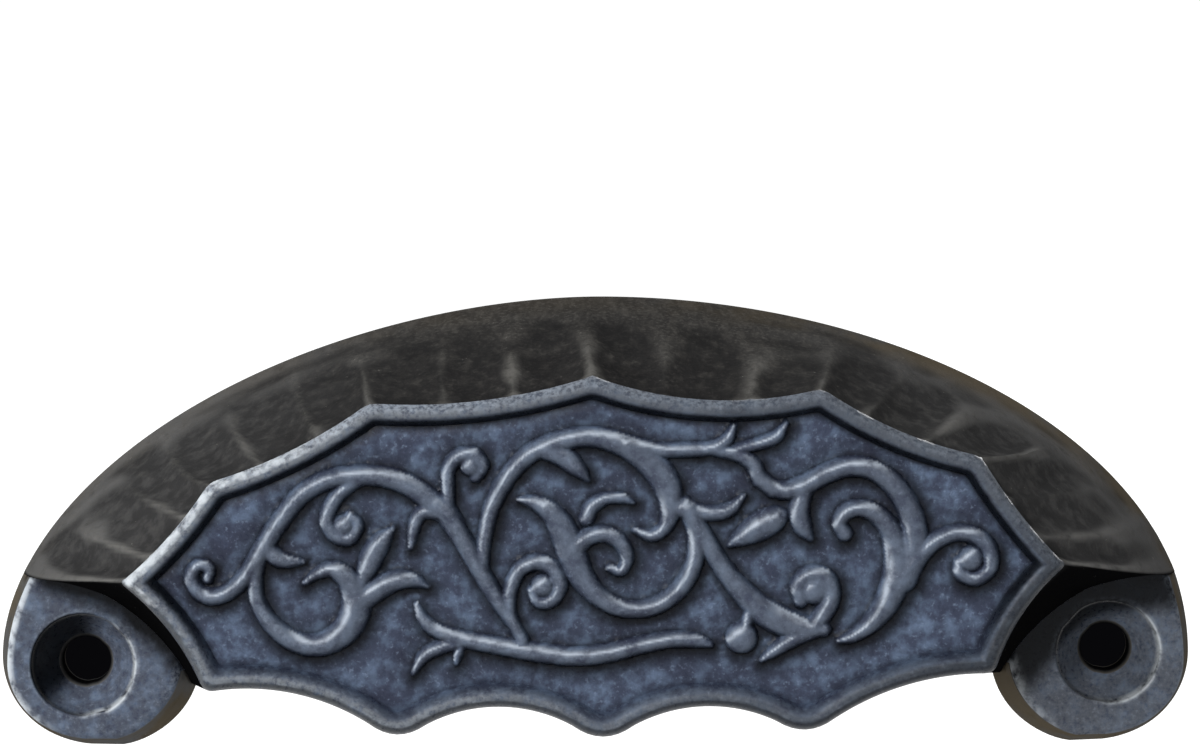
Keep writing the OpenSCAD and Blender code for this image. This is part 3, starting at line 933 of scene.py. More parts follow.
@dataclass
class Shell:
    """Lofts between the outline of the panel and the drawer front: the hood, and the hollow inside it."""

    sizes: Sizes
    outline: Outline
    spokes: tuple[float, ...] = (164, 143, 115.5, 90, 64.5, 37, 12.5)
    end_fullness: float = 1.8
    toe_in: float = 9.6
    toe_low: float = 2.7

    def tall(self, height: float) -> float:
        """A height in mm that grows with the hood."""
        return height * self.sizes.hood_h / DRAWN_HEIGHT

    @property
    def foot(self) -> Array:
        """Lowest corner of the right end wall on the drawer front."""
        return np.array([self.sizes.half - self.toe_in, -self.tall(self.toe_low)])

    def wall_points(self, a: float, h: float, toe: Array, sag: float, more: float) -> Array:
        """Outline on the drawer front: an arch on top, scallops round the lugs, a line below.

        Args:
            a: half width of the arch.
            h: height of the arch.
            toe: lowest corner of the right end wall.
            sag: dip of the scallops round the lugs.
            more: degrees by which the arch ends higher than the hood's.

        Returns:
            One place for each point of the panel outline.
        """
        sides, shares = self.outline.sides, self.outline.shares
        turns = np.array(self.spokes)
        turns[0] = 180 - self.sizes.low_left - more
        turns[-1] = self.sizes.low_right + more
        mirror = toe * (-1, 1)
        top = sides < TOP_SIDES
        k = np.clip(sides, 0, TOP_SIDES - 1)
        out = self.sizes.arch(a, h, lerp(turns[k], turns[k + 1], shares))
        tip = self.sizes.arch(a, h, turns[-1])
        rest = self.sizes.arch(a, h, turns[0])
        bottom = (sides - TOP_SIDES - 1 + shares) / (LAST_SIDE - TOP_SIDES - 1)
        out[~top] = lerp(toe, mirror, bottom[:, None])[~top]
        for side, start, end in ((TOP_SIDES, tip, toe), (LAST_SIDE, mirror, rest)):
            f = shares[sides == side][:, None]
            chord = end - start
            outward = np.array([chord[1], -chord[0]]) / np.linalg.norm(chord)
            out[sides == side] = lerp(start, end, f) + outward * sag * 4 * f * (1 - f)
        return out

    def drawn(self, t: float) -> Array:
        """How far each point has drawn in from the drawer front to the panel.

        Args:
            t: share of the depth.

        Returns:
            Share of the way for each point: curved on the hood, fuller at its ends, and straight below.
        """
        sides, shares = self.outline.sides, self.outline.shares
        along = np.where(sides < TOP_SIDES, sides + shares, 0.0)
        # The ends of the hood keep their width further out than its middle
        near_end = 1 - smoothstep(0, 0.9, np.minimum(along, TOP_SIDES - along))
        curved = lerp(0.7 * t + 0.3 * t ** 2.5, t ** self.end_fullness, near_end)
        end = np.clip(3 * np.where(sides == TOP_SIDES, shares, 1 - shares), 0, 1)
        at_lug = (sides == TOP_SIDES) | (sides == LAST_SIDE)
        straight = np.where(sides < TOP_SIDES, 0.0, np.where(at_lug, end, 1.0))
        return lerp(curved, t, straight)


@dataclass
class Hood(Shell):
    """Outer skin of the casting from the drawer front to the outer edge of the rim."""

    hammering: Hammering = field(default_factory=Hammering)
    steps: int = 38
    lug_sag: float = 2.2

    @property
    def levels(self) -> Array:
        """Shares of the depth at which the skin has a loop."""
        return np.linspace(0, 1, self.steps + 1)

    def marks(self, t: float) -> Array:
        """Depth in mm of the hammer marks round the loop at share t of the depth."""
        along = self.outline.sides + self.outline.shares
        return np.where(along < TOP_SIDES, self.hammering.depths(along, np.full(len(along), t)), 0.0)

    def loop_at(self, t: float) -> Array:
        """Loop of the skin, with its hammer marks.

        Args:
            t: share of the depth.

        Returns:
            n by 3 places.
        """
        s = self.sizes
        back = self.wall_points(s.arch_a, s.hood_h, self.foot, self.tall(self.lug_sag), 0)
        flat = lerp(back, self.outline.loop(0, 1), self.drawn(t)[:, None])
        # The marks are cut in towards a point below the panel
        inward = np.stack([flat[:, 0] * 0.55, flat[:, 1] + 6], -1)
        inward /= np.linalg.norm(inward, axis=1, keepdims=True)
        return at_depth(flat - inward * self.marks(t)[:, None], s.edge_y * t)

    def lug_corner(self) -> Array:
        """Places across and up where the end walls meet the faces of the lugs."""
        ends = (self.outline.sides == TOP_SIDES) | (self.outline.sides == LAST_SIDE)
        return self.loop_at(self.sizes.lug_t / self.sizes.edge_y)[ends][:, [0, 2]]


@dataclass
class Hollow(Shell):
    """Room for the fingers, open at the back and below."""

    steps: int = 9
    corner_r: float = 1.6
    corner_steps: int = 4
    panel_wall: float = 0.9
    lug_sag: float = 2.4
    raised_ends: float = 6.5
    open_depth: float = 14.0

    def levels(self, inner: float) -> list[tuple[float, float, float]]:
        """Loops of the hollow from the back to its rounded front edge.

        Args:
            inner: depth of the hollow in mm.

        Returns:
            Depth in mm, share of the depth and inset in mm of each loop.
        """
        r = self.corner_r
        levels = [(-1.0, 0.0, 0.0)]
        levels += [((inner - r) * t, t * (1 - r / inner), 0.0) for t in np.linspace(0, 1, self.steps)]
        for turn in np.radians(np.linspace(0, 90, self.corner_steps + 1)[1:]):
            depth = inner - r * (1 - math.sin(turn))
            levels.append((depth, depth / inner, r * (1 - math.cos(turn))))
        return levels

    def build(self) -> bpy.types.Object:
        """Makes the closed mesh that is cut out of the casting.

        Returns:
            The new object.
        """
        s = self.sizes
        sides = self.outline.sides
        # On the drawer front it lies inside the hood by these shares of the wall
        toe = self.foot - np.array([0.9 * s.wall, -0.7 * s.wall])
        back = self.wall_points(s.arch_a - 1.4 * s.wall, s.hood_h - s.wall, toe, self.tall(self.lug_sag),
                                self.raised_ends)
        below = (sides > TOP_SIDES) & (sides < LAST_SIDE)
        edge = s.wall * self.panel_wall
        shift = self.outline.loop(edge, 0.5)
        rows = []
        for depth, t, inset in self.levels(s.floor_y - s.wall + 0.2):
            front = self.outline.loop(edge + inset, 0.5)
            flat = lerp(back, shift, self.drawn(t)[:, None]) + (front - shift)
            flat[below, 1] = np.minimum(flat[below, 1], 0) - self.tall(self.open_depth)
            rows.append(at_depth(flat, depth))
        return close_loops("hollow", rows)


@dataclass
class Lug:
    """Screw lug with its web up to the hood and its countersunk hole, a ring of loops round the hole."""

    sizes: Sizes
    side: Side
    boss_shift: float = 2.4
    inner_lean: float = 0.6
    foot_bulge: float = 0.35
    bulge_reach: float = 3.5
    edge_r: float = 0.8
    edge_steps: int = 6
    face_steps: int = 9
    cone_steps: int = 8
    web_points: int = 9
    outer_points: int = 26
    inner_points: int = 30
    # Depth and inset in mm of the loops of the flank
    flank: tuple[tuple[float, float], ...] = ((0.0, 0.0), (1.2, 0.3), (2.4, 0.6), (3.4, 0.8))
    flank_inset: float = 0.95
    face_dents: Lumps = Lumps(0.05, 2.2, 21)

    def outline(self, inset: float, depth: float) -> Array:
        """Outline of the lug, drawn as a right one.

        Args:
            inset: distance in mm inside the outline on the drawer front.
            depth: distance in mm from the drawer front.

        Returns:
            n by 2 places, with the same n for every inset.
        """
        s = self.sizes
        left = self.side is Side.LEFT
        low = s.low_left if left else s.low_right
        drop = s.drop(self.side)
        corner = PANEL_CORNERS[0 if left else TOP_SIDES]
        turns = low * np.linspace(1, 0.1, self.web_points)
        arch = s.arch(s.arch_a, s.hood_h, 180 - turns if left else turns) * (self.side.value, 1)
        drawn = (depth / s.edge_y) ** Shell.end_fullness
        # The web leans over from the hood to the middle height of the lug
        web = arch - (inset, 0)
        web[:, 1] += drop * np.linspace(0, 1, self.web_points)
        lip = lerp(arch[:1], np.array([[abs(corner.x), corner.z]]), drawn)
        lip = np.minimum(lip, (web[0, 0], np.inf)) + (-0.6, 0.3)
        # The outline closes through a place that the hood covers
        hidden = np.array([[s.half - 6, 9.0]])
        top = lerp(hidden, lip, np.linspace(0, 1, 8)[1:-1, None])
        return np.concatenate([lip, web, self._boss(inset, drop), hidden, top])

    def _boss(self, inset: float, drop: float) -> Array:
        """Round part of the outline, of an outer arc and a longer inner one.

        Args:
            inset: distance in mm inside the outline on the drawer front.
            drop: height of its middle in mm.

        Returns:
            n by 2 places.
        """
        s = self.sizes
        r = s.foot_r - inset
        outer = np.radians(np.linspace(0, -90, self.outer_points))
        inner = np.radians(np.linspace(-90, -225, self.inner_points))
        # The flank towards the finger opening leans more
        lean = self.inner_lean * inset * np.sin(np.linspace(0.25, 1, self.inner_points) * math.pi) ** 2
        lean_outer = lean[0] * smoothstep(0, 1, np.linspace(0, 1, self.outer_points))
        arcs = []
        for shift, radius, turn in ((0, r - lean_outer, outer), (self.boss_shift, r - lean, inner)):
            arcs.append(np.stack([s.half - shift + radius * np.cos(turn), drop + radius * np.sin(turn)], -1))
        ring = np.concatenate([arcs[0], arcs[1][1:]])
        # The lowest point lies under the middle of the inner arc
        under = np.exp(-((ring[:, 0] - s.half + self.boss_shift) / self.bulge_reach) ** 2)
        ring[:, 1] -= self.foot_bulge * (under * (ring[:, 1] < drop - 0.5 * r))
        return ring

    def build(self) -> bpy.types.Object:
        """Makes the closed mesh of the lug: its flank, its rounded edge, its face and the screw hole.

        Returns:
            The new object.
        """
        s = self.sizes
        r = self.edge_r
        stack = [*self.flank, (s.lug_t - r, self.flank_inset)]
        for turn in np.radians(np.linspace(0, 90, self.edge_steps + 1)[1:]):
            stack.append((s.lug_t - r * (1 - math.sin(turn)), self.flank_inset + r * (1 - math.cos(turn))))
        loops = [at_depth(self.outline(inset, depth), depth) for depth, inset in stack]
        brim = self.outline(stack[-1][1], s.lug_t)
        centre = np.array([s.half, 0.0])
        rays = brim - centre
        rays /= np.linalg.norm(rays, axis=1, keepdims=True)
        mouth = centre + rays * (s.sink_r + 0.3)
        for t in np.linspace(0, 1, self.face_steps + 1)[1:]:
            flat = lerp(brim, mouth, t)
            dents = uneven(flat * (self.side.value, 1), (self.face_dents,))
            loops.append(at_depth(flat, s.lug_t + dents * math.sin(math.pi * t)))
        loops += [at_depth(centre + rays * radius, depth) for radius, depth in self._hole()]
        n = len(rays)
        faces: list = []
        for j in range(len(loops)):
            faces += ring_faces(j * n, (j + 1) % len(loops) * n, n)
        points = np.concatenate(loops) * (self.side.value, 1, 1)
        if self.side is Side.LEFT:
            faces = [f[::-1] for f in faces]
        return add_object(f"lug_{self.side.name.lower()}", points, faces)

    def _hole(self) -> list[tuple[float, float]]:
        """Profile of the screw hole.

        Returns:
            Radius and distance from the drawer front, in mm, of each loop from the broken edge to the back.
        """
        s = self.sizes
        cone_h = s.sink_r - s.bore_r
        land = s.lug_t - s.sink_land
        edge = [(s.sink_r + 0.12, s.lug_t - 0.05), (s.sink_r, s.lug_t - 0.2), (s.sink_r, land)]
        shares = np.linspace(0, 1, self.cone_steps + 1)[1:]
        cone = [(s.sink_r - cone_h * t, land - cone_h * t) for t in shares]
        return edge + cone + [(s.bore_r, depth) for depth in (1.2, 0.6, 0.0)]


@dataclass(frozen=True)
class Layer:
    """A colour over those before it, where a pattern and a mask of the casting both show it."""

    colour: str
    mask: str
    pattern: str
    low: float
    high: float
    share: float = 1.0


@dataclass(frozen=True)
class Pattern:
    """Noise over the casting: distance between its lumps in mm across, from front to back, and up."""

    name: str
    across: float
    back: float
    up: float


# The mould's sand is finer than 0.3 mm; its grain is drawn coarser, so that it shows
PATTERNS = (
    Pattern("grain", 0.4, 0.4, 0.4),
    Pattern("mottle", 1.5, 1.5, 1.5),
    Pattern("cloud", 7.0, 7.0, 7.0),
    Pattern("streak", 0.8, 2.6, 1.0),
)


@dataclass(frozen=True)
class CastIron:
    """A finish of sand-cast iron: a base colour, layers over it and the pits of the mould's sand."""

    name: str
    base: str
    layers: tuple[Layer, ...]
    specular: float
    roughness: float
    pit_depth_mm: float = 0.05
    pit_strength: float = 0.6
    smoother: float = 0.08
    rougher: float = 0.1
    noise_detail: float = 3.0
    noise_roughness: float = 0.6

    def build(self) -> bpy.types.Material:
        """Makes the material from its layers, the patterns and the masks that the casting carries.

        Returns:
            The new material.
        """
        material = bpy.data.materials.new(self.name)
        material.use_nodes = True
        tree = material.node_tree
        shader = tree.nodes["Principled BSDF"]
        patterns = self._patterns(tree)
        tree.links.new(self._colour(tree, patterns), shader.inputs["Base Color"])
        rough = add_node(tree, "ShaderNodeMapRange", {
            "Value": patterns["grain"], "From Min": 0.3, "From Max": 0.7,
            "To Min": self.roughness - self.smoother, "To Max": self.roughness + self.rougher})
        tree.links.new(rough.outputs["Result"], shader.inputs["Roughness"])
        # The oxide and the wax hide the metal
        shader.inputs["Metallic"].default_value = 0.0
        shader.inputs["Specular IOR Level"].default_value = self.specular
        bump = add_node(tree, "ShaderNodeBump", {
            "Height": patterns["grain"], "Strength": self.pit_strength, "Distance": self.pit_depth_mm * MM})
        tree.links.new(bump.outputs["Normal"], shader.inputs["Normal"])
        return material

    def _patterns(self, tree: bpy.types.NodeTree) -> dict[str, bpy.types.NodeSocket]:
        """Adds the noise patterns.

        Args:
            tree: node tree of the material.

        Returns:
            Output of each pattern by name.
        """
        place = add_node(tree, "ShaderNodeTexCoord").outputs["Object"]
        outputs = {}
        for pattern in PATTERNS:
            scale = [1 / (size * MM) for size in (pattern.across, pattern.back, pattern.up)]
            scaled = add_node(tree, "ShaderNodeMapping", {"Vector": place, "Scale": scale})
            noise = add_node(tree, "ShaderNodeTexNoise", {
                "Vector": scaled.outputs["Vector"], "Scale": 1.0, "Detail": self.noise_detail,
                "Roughness": self.noise_roughness})
            outputs[pattern.name] = noise.outputs["Fac"]
        return outputs

    def _colour(self, tree: bpy.types.NodeTree,
                patterns: dict[str, bpy.types.NodeSocket]) -> bpy.types.NodeSocket:
        """Lays the colours over each other.

        Args:
            tree: node tree of the material.
            patterns: output of each pattern by name.

        Returns:
            Output with the colour of the whole finish.
        """
        colour = to_linear(self.base)
        for layer in self.layers:
            share = add_node(tree, "ShaderNodeMapRange", {
                "Value": patterns[layer.pattern], "From Min": layer.low, "From Max": layer.high,
                "To Max": layer.share}, interpolation_type="SMOOTHSTEP").outputs["Result"]
            if layer.mask:
                mask = add_node(tree, "ShaderNodeAttribute", attribute_name=layer.mask).outputs["Fac"]
                both = add_node(tree, "ShaderNodeMath", {0: share, 1: mask}, operation="MULTIPLY")
                share = both.outputs["Value"]
            colour = add_node(tree, "ShaderNodeMix", {
                "Factor": share, "A": colour, "B": to_linear(layer.colour)}, data_type="RGBA").outputs["Result"]
        return colour


# Black oxide left on from the foundry: a dull grey black that hides the metal, darker in the hammer marks,
# rubbed thin on the ridges between them, and with brown rust towards the drawer front. Painted light lies
# over it: paler towards the ends, painted shade in the hammer marks, in corners and on what faces down,
# and a painted highlight on the ridges that face up
BLACKENED_IRON = CastIron(
    name="blackened_cast_iron",
    base="#31302f",
    layers=(
        Layer("#4a4845", "", "streak", 0.4, 0.7, 0.5),
        # Painted light: paler towards the ends
        Layer("#5a5a5a", "ends", "mottle", 0.0, 0.55, 0.8),
        Layer("#54524f", "", "grain", 0.46, 0.7, 0.45),
        Layer("#544a38", "warm", "cloud", 0.3, 0.6, 0.7),
        # Oxide left in the hammer marks, darkened further as painted shade
        Layer("#1e1e1f", "scoop", "mottle", 0.1, 0.6, 0.75),
        # Rubbed ridges between the marks, paler only where they face up as a painted highlight
        Layer("#6a6966", "ridge_wear_and_highlight", "mottle", 0.25, 0.65, 0.7),
        # Worn edges, painted brighter where they face up and less towards the right, as a highlight
        Layer("#5e5d58", "edge", "grain", 0.3, 0.6, 0.35),
        # Dirt in corners, with painted shade there
        Layer("#08080a", "recess", "cloud", -1, 0, 0.7),
        Layer("#040405", "shade", "cloud", -1, 0, 0.98),
        Layer("#9c9b97", "", "grain", 0.73, 0.78, 0.6),
    ),
    specular=0.0,
    roughness=0.75,
    pit_depth_mm=0.1,
)
# Oxide rubbed back to a slate grey with wax: a soft gloss, paler mottling, grey metal on what stands proud
# and dirt in the corners, with painted shade and shadow there as well, a rim darker towards the right,
# and painted highlights on the stem shoulders, edges, countersink lips and rim that face the upper left
RUBBED_IRON = CastIron(
    name="rubbed_cast_iron",
    base="#323848",
    layers=(
        Layer("#5a697f", "", "mottle", 0.38, 0.76, 0.85),
        Layer("#242634", "", "cloud", 0.45, 0.7, 0.6),
        Layer("#6d7a8e", "", "grain", 0.55, 0.75, 0.45),
        Layer("#515863", "raised", "mottle", 0.2, 0.6, 0.6),
        # Rubbed grey of the rim, less towards the right, and of the lug faces, the right one painted paler as
        # light
        Layer("#65696d", "rim", "grain", 0.1, 0.65, 0.85),
        # The rim darker towards the right
        Layer("#3a3e43", "rim_darker_right", "mottle", 0.1, 0.6, 0.7),
        # Dirt in the corners, together with painted shade and the painted shadows of the stems
        Layer("#020305", "recess", "cloud", -1, 0, 0.95),
        # Painted highlight on the shoulders of the stems that face the upper left
        Layer("#b0b9c4", "rubbed", "mottle", 0.15, 0.65, 0.7),
        # Worn edges, painted brighter where they face up and at the left, as a highlight
        Layer("#9aa4b1", "edge", "grain", 0.35, 0.65, 0.5),
        # Painted highlights on the countersink lips, the rim at the upper left and edges of the lugs
        Layer("#d2d8dc", "painted_glint", "mottle", 0.3, 0.6, 0.7),
    ),
    specular=0.08,
    roughness=0.31,
)


@dataclass
class PatinaAndPaintedLight:
    """Wear and dirt of the casting, and its painted light and shade: masks from 0 to 1 over its points, which
    the finishes read.

    Distances are in mm; those to a feature of the panel are far away for points that lie elsewhere.
    """

    sizes: Sizes
    outline: Outline
    mesh: bpy.types.Mesh
    relief: Relief = field(default_factory=Relief)
    # Direction across and up from which the painted light falls on the carving, for its painted highlights and
    # shadows
    painted_light_from: tuple[float, float] = (-0.6, 0.8)
    painted_shadow_step: float = 0.2
    fine_rounds: int = 5
    broad_rounds: int = 40
    places: Array = field(init=False)
    normals: Array = field(init=False)
    marks: Array = field(init=False)
    hood: Array = field(init=False)
    panel: Array = field(init=False)
    lug: Array = field(init=False)
    bore: Array = field(init=False)
    hole: Array = field(init=False)
    face: Array = field(init=False)
    rim: Array = field(init=False)
    sink_gap: Array = field(init=False)
    edge_gap: Array = field(init=False)
    foot_gap: Array = field(init=False)

    def __post_init__(self) -> None:
        """Reads the points of the mesh and sorts them by the feature that they belong to."""
        s, mesh = self.sizes, self.mesh
        self.places = read_items(mesh.vertices, "co", 3, float) / MM
        self.normals = read_items(mesh.vertices, "normal", 3, float)
        self.marks = read_items(mesh.attributes[MARK_LAYER].data, "value", 1, np.float32)
        zones = np.rint(read_items(mesh.attributes[ZONE_LAYER].data, "value", 1, np.float32))
        self.hood, self.panel = zones == Zone.HOOD.value, zones == Zone.PANEL.value
        x, depth, z = self.places[:, 0], -self.places[:, 1], self.places[:, 2]
        self.lug = (zones == Zone.OTHER.value) & (np.abs(x) > s.half - 12) & (depth < s.lug_t + 0.3)
        self.sink_gap = np.hypot(np.abs(x) - s.half, z)
        self.bore = self.lug & (self.sink_gap < s.bore_r + 0.1) & (depth > 0.3)
        solid = self.lug & ~self.bore
        self.hole = solid & (self.sink_gap < s.sink_r + 0.15) & (depth > 0.3) & (depth < s.lug_t - 0.02)
        self.face = self.hole | solid & (-self.normals[:, 1] > 0.45) & (depth > s.lug_t - 1.2)
        flat = self.places[self.panel][:, [0, 2]]
        self.edge_gap, self.foot_gap = np.full(len(x), FAR), np.full(len(x), FAR)
        self.edge_gap[self.panel] = nearest(flat, self.outline.loop(0, 1))
        self.foot_gap[self.panel] = self.relief.foot_gap(flat)
        self.rim = self.panel * (1 - smoothstep(1.2, 1.6, self.edge_gap))

    def proud(self, rounds: int) -> Array:
        """How far each point stands proud of its smoothed surroundings.

        Args:
            rounds: how many times the surroundings are smoothed.

        Returns:
            Height of each point in mm, less than 0 in a corner.
        """
        co = self.places
        pairs = read_items(self.mesh.edges, "vertices", 2, int)
        degree = np.bincount(pairs.ravel(), minlength=len(co))[:, None].clip(1)
        smooth = co.copy()
        for _ in range(rounds):
            total = np.zeros_like(smooth)
            for axis in range(3):
                total[:, axis] = (np.bincount(pairs[:, 0], smooth[pairs[:, 1], axis], len(co))
                                  + np.bincount(pairs[:, 1], smooth[pairs[:, 0], axis], len(co)))
            smooth = total / degree
        return ((co - smooth) * self.normals).sum(1)

    def panel_dirt_and_shadow(self) -> Array:
        """Dirt and painted shade and shadow on the panel.

        Returns:
            One number for each point, of use for those of the panel.
        """
        x, z, up = self.places[:, 0], self.places[:, 2], self.normals[:, 2]
        flat = self.places[self.panel][:, [0, 2]]
        step = self.painted_shadow_step * np.array(self.painted_light_from)
        under = np.zeros(len(x))
        under[self.panel] = self.relief.foot_gap(flat - step) - self.relief.foot_gap(flat + step)
        under = smoothstep(-0.8, 0.8, under / (2 * self.painted_shadow_step))
        # Dirt and painted shade along the foot of the stems, with a painted shadow widest under them and to
        # their right, and thinly beside that
        off_foot = self.foot_gap - 0.05
        width = np.where(off_foot > 0, lerp(0.35, 1.15, under), lerp(0.12, 0.4, under))
        dirt = np.exp(-(off_foot / width) ** 2) * lerp(0.75, 1, under)
        # Darker floor near the stems, as painted shade
        dirt = np.maximum(dirt, 0.38 * (1 - smoothstep(0.3, 2.4, self.foot_gap)) * (off_foot > 0))
        # The rim gets painted shade on its underside, and is darker at the lower right
        dirt = np.maximum(dirt, 0.6 * (self.edge_gap < 0.9) * smoothstep(0.05, 0.5, -up))
        dirt = np.maximum(dirt, 0.6 * self.rim * smoothstep(18, 36, x) * (1 - smoothstep(6, 18, z)))
        # The groove along the foot of the rim gets dirt and painted shade, more at the top
        groove = smoothstep(1.25, 1.75, self.edge_gap) * (1 - smoothstep(2.1, 2.8, self.edge_gap))
        return np.maximum(dirt, self.panel * groove * lerp(0.35, 1, smoothstep(-1, 9, z)))

    def other_dirt_and_shade(self) -> Array:
        """Dirt and painted shade and shadow beside the panel.

        Returns:
            One number for each point, of use for those outside the panel.
        """
        s = self.sizes
        x, depth, up = self.places[:, 0], -self.places[:, 1], self.normals[:, 2]
        # Dirt and painted shade in corners of the casting, and on the upright wall of the countersinks
        corner = smoothstep(0.03, 0.35, -self.proud(self.broad_rounds))
        upright = smoothstep(0.6, 0.3, -self.normals[:, 1])
        dirt = np.where(self.lug & (self.sink_gap < s.sink_r + 0.5), 0.75 * self.hole * upright, corner)
        # The bore is painted black as shade
        dirt[self.bore] = 1
        dirt[depth < 0.3] = 0
        dirt[self.hood] *= 0.3
        # Painted shadow of the end walls on the faces of the lugs, reaching further out on the right
        wall_gap = nearest(self.places[self.face][:, [0, 2]], Hood(s, self.outline).lug_corner()[::4])
        wall_gap -= np.where(x[self.face] > 0, 2.2, 0)
        dirt[self.face] = np.maximum(dirt[self.face], 1 - smoothstep(0.2, 2.2, wall_gap))
        # Painted shade on the upper left side of the countersinks, less in the right one
        turned = smoothstep(-0.1, 0.45, self.normals[:, 0] - 0.5 * up)
        return np.maximum(dirt, self.hole * turned * np.where(x > 0, 0.5, 1.0))

    def painted_glints(self, crest: Array) -> Array:
        """Painted highlights, drawn as bright bare metal, on the lips of the countersinks at their right, on
        the rim at the upper left and on edges of the lugs.

        Args:
            crest: how much of an edge each point is.

        Returns:
            One number for each point.
        """
        s = self.sizes
        x, z = self.places[:, 0], self.places[:, 2]
        lip = np.exp(-((self.sink_gap - s.sink_r - 0.08) / 0.16) ** 2) * self.lug
        lip *= smoothstep(0.1, 0.8, (x - np.sign(x) * s.half - 0.4 * z) / s.sink_r)
        on_rim = (self.edge_gap < 0.9) * smoothstep(-18, -34, x) * (z > 8)
        by_side = np.where(x < 0, smoothstep(-50, -54, x), 0.4 * smoothstep(44, 42, x) * (z < 1))
        on_lug = self.lug * (self.sink_gap > s.sink_r + 1) * by_side
        return np.maximum(lip, crest * np.where(self.panel, on_rim, on_lug))

    def masks(self) -> dict[str, Array]:
        """All masks.

        Returns:
            Name of each mask and its number for each point.
        """
        s = self.sizes
        x, depth, z = self.places[:, 0], -self.places[:, 1], self.places[:, 2]
        up, out = self.normals[:, 2], depth / s.edge_y
        fine = self.proud(self.fine_rounds)
        crest, to_right = smoothstep(0.02, 0.12, fine), smoothstep(-25, 25, x)
        carving = self.panel * (1 - self.rim)
        # Painted highlight on the shoulders of the stems that face the painted light
        shoulder_highlight = np.exp(-((self.normals[:, [0, 2]] @ np.array(self.painted_light_from) - 0.42) / 0.14) ** 2)
        on_stem = (self.foot_gap < -0.1) * smoothstep(0.0, 0.02, fine)
        # Rim grey, less towards the right
        pale_rim = self.rim * (1 - to_right * np.where(z < 16, 0.6, 0.45))
        # Edges paler where they face up and at the left: partly wear, partly painted highlight
        edge_share = np.where(self.panel, lerp(1, 0.3, smoothstep(0.7, 1.1, self.edge_gap)), 0.6 * ~self.hole)
        flank = self.lug & ~self.face & ~self.bore & (up < 0.4)
        by_wall = (1 - smoothstep(0.02, 0.3, out)) * lerp(0.2, 1, smoothstep(0, 35, x))
        below = smoothstep(-0.1, 0.3, -up) * ~self.lug * (depth > 0.3)
        return {
            "raised": smoothstep(0.25, 1.0, depth - s.floor_y) * carving,
            # Painted highlight on the stem shoulders that face the light
            "rubbed": shoulder_highlight * carving * on_stem,
            # Painted light: paler towards the ends
            "ends": smoothstep(12, 40, np.abs(x)),
            # Rim grey; the right lug's face painted paler as light
            "rim": np.maximum(pale_rim, self.face * np.where(x > 0, 0.6, 0.3)),
            # Edge wear with a painted highlight: none on edges that face down, less towards the right
            "edge": crest * edge_share * (1 - 0.7 * to_right) * (1 - smoothstep(0, 0.4, -up)),
            # Painted highlights where the light catches
            "painted_glint": self.painted_glints(crest),
            # Darker towards the right of the rim
            "rim_darker_right": self.rim * to_right,
            # Dirt with painted shade and shadow
            "recess": np.where(self.panel, self.panel_dirt_and_shadow(), self.other_dirt_and_shade()),
            # Oxide in the hammer marks, with painted shade
            "scoop": smoothstep(0.15, 0.5, self.marks),
            # Rubbed ridges, with a painted highlight where they face up
            "ridge_wear_and_highlight": (1 - smoothstep(0.1, 0.55, self.marks)) * smoothstep(0.4, 0.95, out) * (up > 0),
            "warm": ~self.bore * np.maximum(flank, by_wall),
            "shade": np.maximum(below * np.where(self.hood, 1, 0.9), self.bore),
        }


